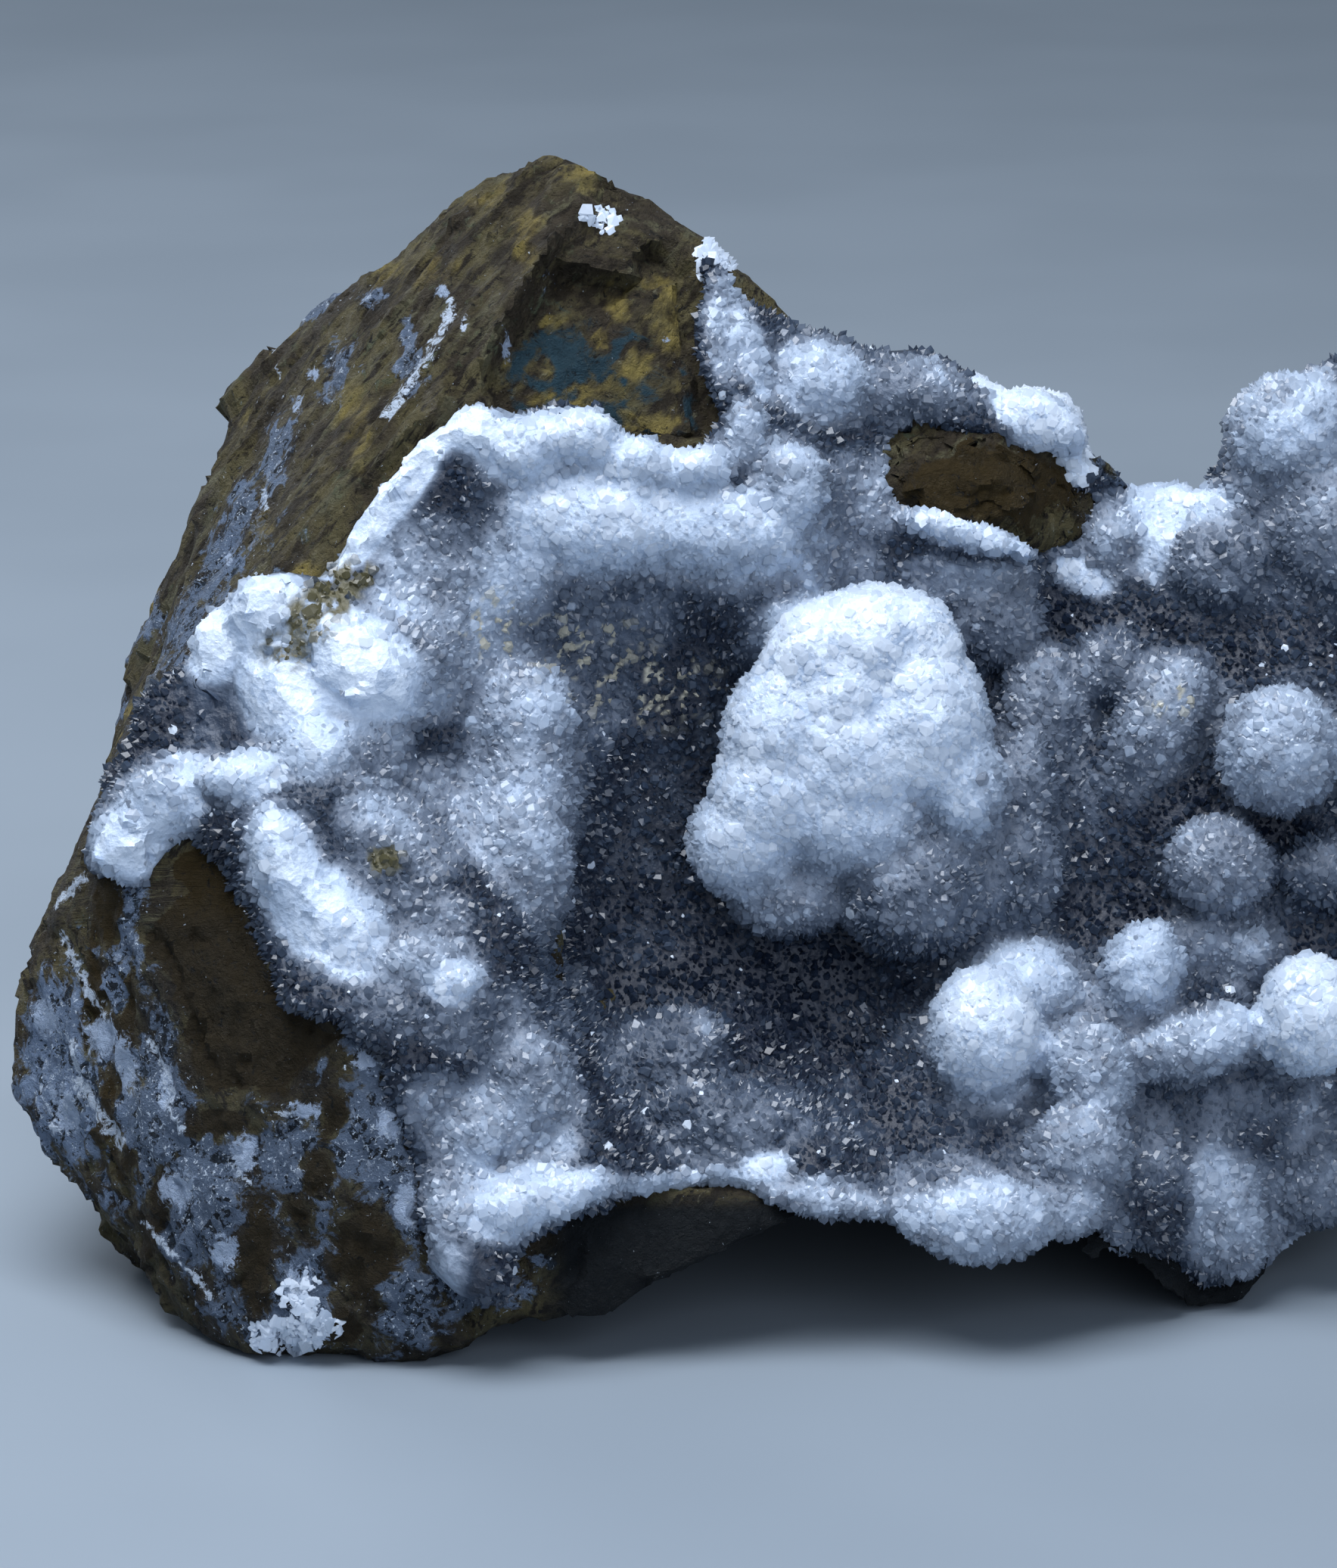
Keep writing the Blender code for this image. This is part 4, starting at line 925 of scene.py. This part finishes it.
        # The set-back face gets painted shade, and the slate patches are darkened as the rock's own darker
        # colour.
        set_back_shade_and_dark_slate = np.maximum(0.4 * triangle, 0.5 * slate * (1.0 - foot))
        # The "shade" mark holds all of these: painted shade under the arch and on the set-back face, and a
        # darker tone in the slate patches and the foot.
        paint(rock.data, "shade", np.maximum(np.maximum(under, set_back_shade_and_dark_slate), sole))
        rock.data.set_sharp_from_angle(angle=math.radians(32.0))
        stand(rock)
        rock.data.materials.append(weathered_rhyolite(settings))
        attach(rock, "root")
        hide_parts("matrix_rock")
        return {"FINISHED"}


class SPECIMEN_OT_druse_crust(bpy.types.Operator):
    """Lays the body of the druse: the sheet, the mounds and the knobs under the points"""
    bl_idname = "specimen.druse_crust"
    bl_label = "Druse crust"

    def execute(self, context):
        settings = context.scene.specimen_druse
        mesh = bpy.data.meshes.new("druse_crust")
        bm = bmesh.new()
        druse_sheet(bm, settings.thickness / MM)
        druse_lumps(bm)
        bm.to_mesh(mesh)
        bm.free()
        crust = link("druse_crust", mesh)
        fuse(crust, settings.grain / MM)
        soften(crust, 14)
        points = coordinates(crust.data)
        behind = points[:, 1] > base_depth(points[:, 0], points[:, 2]) + 1.2
        keep_skin(crust, ~(behind & buried(points, 1.0)))
        points = coordinates(crust.data)
        massive = patch_share(MASSIVE, points[:, 0], points[:, 2])
        push = 0.3 * noise_at(points, 2.6, octaves=3, seed=12.0) - 0.15
        points += normals(crust.data) * push[:, None]
        for size, seed in ((4.0, 5.0), (1.9, 2.0)):
            points = broken_flats(points, normals(crust.data), size, FOOT_BEDS, 1.5,
                                  0.9 * massive, seed)
        set_coordinates(crust.data, points)
        milk = milkiness_at(points)
        # Painted shade between the points: the crust is made darker than the points that grow on it, most
        # where the quartz is clear.
        milk -= 0.06 + 0.5 * np.clip(0.35 - milk, 0.0, 1.0)
        paint(crust.data, "milk", milk + 0.14 * massive)
        paint(crust.data, "buff", buff_at(points))
        paint(crust.data, "stain", stain_at(points))
        crust.data.set_sharp_from_angle(angle=math.radians(24.0))
        stand(crust)
        crust.data.materials.clear()
        crust.data.materials.append(druse_quartz(settings, "massive_milky_quartz", 0.0, 0.5))
        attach(crust, "root")
        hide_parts("druzy_quartz")
        return {"FINISHED"}


class SPECIMEN_OT_quartz_points(bpy.types.Operator):
    """Grows the quartz points of the druse, and the stray tufts on the bare rock"""
    bl_idname = "specimen.quartz_points"
    bl_label = "Quartz points"

    def execute(self, context):
        settings = context.scene.specimen_druse
        rng = np.random.default_rng(settings.seed)
        face = upright().inverted()
        turned, moved = np.array(face.to_3x3()) / np.cbrt(face.to_3x3().determinant()), face
        crust = bpy.data.objects["druse_crust"].data
        places = coordinates(crust) @ np.array(moved.to_3x3()).T + np.array(moved.translation)
        out = normals(crust) @ turned.T
        open_air = places[:, 1] < base_depth(places[:, 0], places[:, 2]) + 1.0
        open_air |= np.hypot(places[:, 0] - BACK_TUFT[0], places[:, 2] - BACK_TUFT[2]) < 6.0
        places, out = places[open_air], out[open_air]
        spacing, height = settings.spacing / MM, settings.height / MM
        sugar = []
        for share, low, high in ((0.9, -1.0, 0.3), (1.06, 0.3, 0.62), (1.24, 0.62, 2.0)):
            milk = milkiness_at(places)
            chosen = (milk >= low) & (milk < high)
            spots, up = point_cloud(places[chosen], out[chosen], share * spacing, rng)
            sugar.append((spots, up, np.full(len(spots), share * spacing)))
        spots, up, reach = [np.concatenate(group) for group in zip(*sugar)]
        massive = patch_share(MASSIVE, spots[:, 0], spots[:, 2], 0.35)
        massive *= 1.0 - stain_at(spots)
        grows = rng.random(len(spots)) > 1.04 * massive
        spots, up, reach = spots[grows], up[grows], reach[grows]
        milk = milkiness_at(spots)
        # Painted glints: a few of the clearer points are painted snow white, as highlights.
        glint = rng.random(len(spots)) < 0.008 * (milk < 0.4)
        milk = np.where(glint, 1.0, milk)
        bold = rng.random(len(spots)) < 0.2
        quartz = druse_quartz(settings, "clear_quartz_points", 0.22, 0.24)
        fine = grow_on("fine_quartz_points", spots[~bold], up[~bold], reach[~bold], height,
                       milk[~bold], rng)
        coarse = grow_on("coarse_quartz_points", spots[bold], up[bold], reach[bold],
                         1.5 * height, milk[bold], rng, collar=True)
        rock = bpy.data.objects["host_rock"].data
        spots = coordinates(rock) @ np.array(moved.to_3x3()).T + np.array(moved.translation)
        up = normals(rock) @ turned.T
        share = patch_share(STRAY_DRUSE, spots[:, 0], spots[:, 2], 0.2)
        grown = (share > 0.3) & (spots[:, 1] < 26.0) & (up[:, 1] < 0.3)
        spots, up = np.repeat(spots[grown], 4, axis=0), np.repeat(up[grown], 4, axis=0)
        spread = rng.normal(0.0, 0.3, spots.shape)
        spots += spread - (spread * up).sum(1)[:, None] * up
        spots, up = point_cloud(spots, up, 0.5, rng)
        stray = grow_on("stray_quartz_points", spots, up, np.full(len(spots), 0.85), 1.5 * height,
                        np.full(len(spots), 0.88), rng)
        for obj in (fine, coarse, stray):
            stand(obj)
            obj.data.materials.append(quartz)
            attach(obj, "root")
        return {"FINISHED"}


class SPECIMEN_OT_stage(bpy.types.Operator):
    """Sets the floor, the soft light and the camera"""
    bl_idname = "specimen.stage"
    bl_label = "Stage"

    def execute(self, context):
        settings = context.scene.specimen_stage
        bm = bmesh.new()
        bmesh.ops.create_grid(bm, x_segments=1, y_segments=1, size=6.0)
        mesh = bpy.data.meshes.new("floor")
        bm.to_mesh(mesh)
        bm.free()
        mesh.materials.append(studio_board())
        link("floor", mesh)
        lights = (
            ("overhead_softbox", (-0.12, -0.12, 0.62), 0.45, settings.key, "#f2f7ff"),
            ("front_fill", (0.35, -0.75, 0.35), 0.6, 0.5 * settings.key, "#e6efff"),
            ("back_rim", (-0.45, 0.5, 0.4), 0.3, 0.3 * settings.key, "#f4f8ff"),
        )
        for name, place, size, power, colour in lights:
            data = bpy.data.lights.new(name, "AREA")
            data.size, data.energy, data.color = size, power, srgb(colour)
            lamp = bpy.data.objects.new(name, data)
            lamp.location = place
            aim = Vector((0.0, -0.01, 0.045)) - Vector(place)
            lamp.rotation_euler = aim.to_track_quat("-Z", "Y").to_euler()
            context.scene.collection.objects.link(lamp)
        world = bpy.data.worlds.new("soft_studio_air")
        world.use_nodes = True
        air = world.node_tree.nodes["Background"]
        air.inputs["Color"].default_value = (*srgb("#aebccb"), 1.0)
        air.inputs["Strength"].default_value = 0.5
        context.scene.world = world
        data = bpy.data.cameras.new("camera")
        data.sensor_fit, data.sensor_height = "VERTICAL", 24.0
        data.lens = data.sensor_height * settings.distance / settings.view_height
        data.clip_start = 0.01
        camera = bpy.data.objects.new("camera", data)
        camera.location = upright() @ Vector((0.0, -settings.distance / MM, 0.0))
        camera.rotation_euler = (math.pi / 2.0 - LEAN, 0.0, 0.0)
        context.scene.collection.objects.link(camera)
        context.scene.camera = camera
        context.scene.view_settings.view_transform = "Standard"
        return {"FINISHED"}


class SPECIMEN_PT_panel(bpy.types.Panel):
    """Lists the pieces of the specimen with their sizes and colours"""
    bl_label = "Druzy Quartz"
    bl_idname = "SPECIMEN_PT_panel"
    bl_space_type = "VIEW_3D"
    bl_region_type = "UI"
    bl_category = "Druzy Quartz"

    def draw(self, context):
        scene = context.scene
        groups = (
            (scene.specimen_rock, ("specimen.host_rock",)),
            (scene.specimen_druse, ("specimen.druse_crust", "specimen.quartz_points")),
            (scene.specimen_stage, ("specimen.stage",)),
        )
        for settings, operators in groups:
            box = self.layout.box()
            for name in settings.__annotations__:
                box.prop(settings, name)
            for operator in operators:
                box.operator(operator)


CLASSES = (
    HostRockSettings, DruseSettings, StageSettings, SPECIMEN_OT_host_rock,
    SPECIMEN_OT_druse_crust, SPECIMEN_OT_quartz_points, SPECIMEN_OT_stage, SPECIMEN_PT_panel,
)


def register():
    for entry in CLASSES:
        bpy.utils.register_class(entry)
    bpy.types.Scene.specimen_rock = bpy.props.PointerProperty(type=HostRockSettings)
    bpy.types.Scene.specimen_druse = bpy.props.PointerProperty(type=DruseSettings)
    bpy.types.Scene.specimen_stage = bpy.props.PointerProperty(type=StageSettings)


def unregister():
    del bpy.types.Scene.specimen_stage
    del bpy.types.Scene.specimen_druse
    del bpy.types.Scene.specimen_rock
    for entry in reversed(CLASSES):
        bpy.utils.unregister_class(entry)


def main():
    register()
    bpy.ops.specimen.host_rock()
    bpy.ops.specimen.druse_crust()
    bpy.ops.specimen.quartz_points()
    bpy.ops.specimen.stage()


if __name__ == "__main__":
    main()
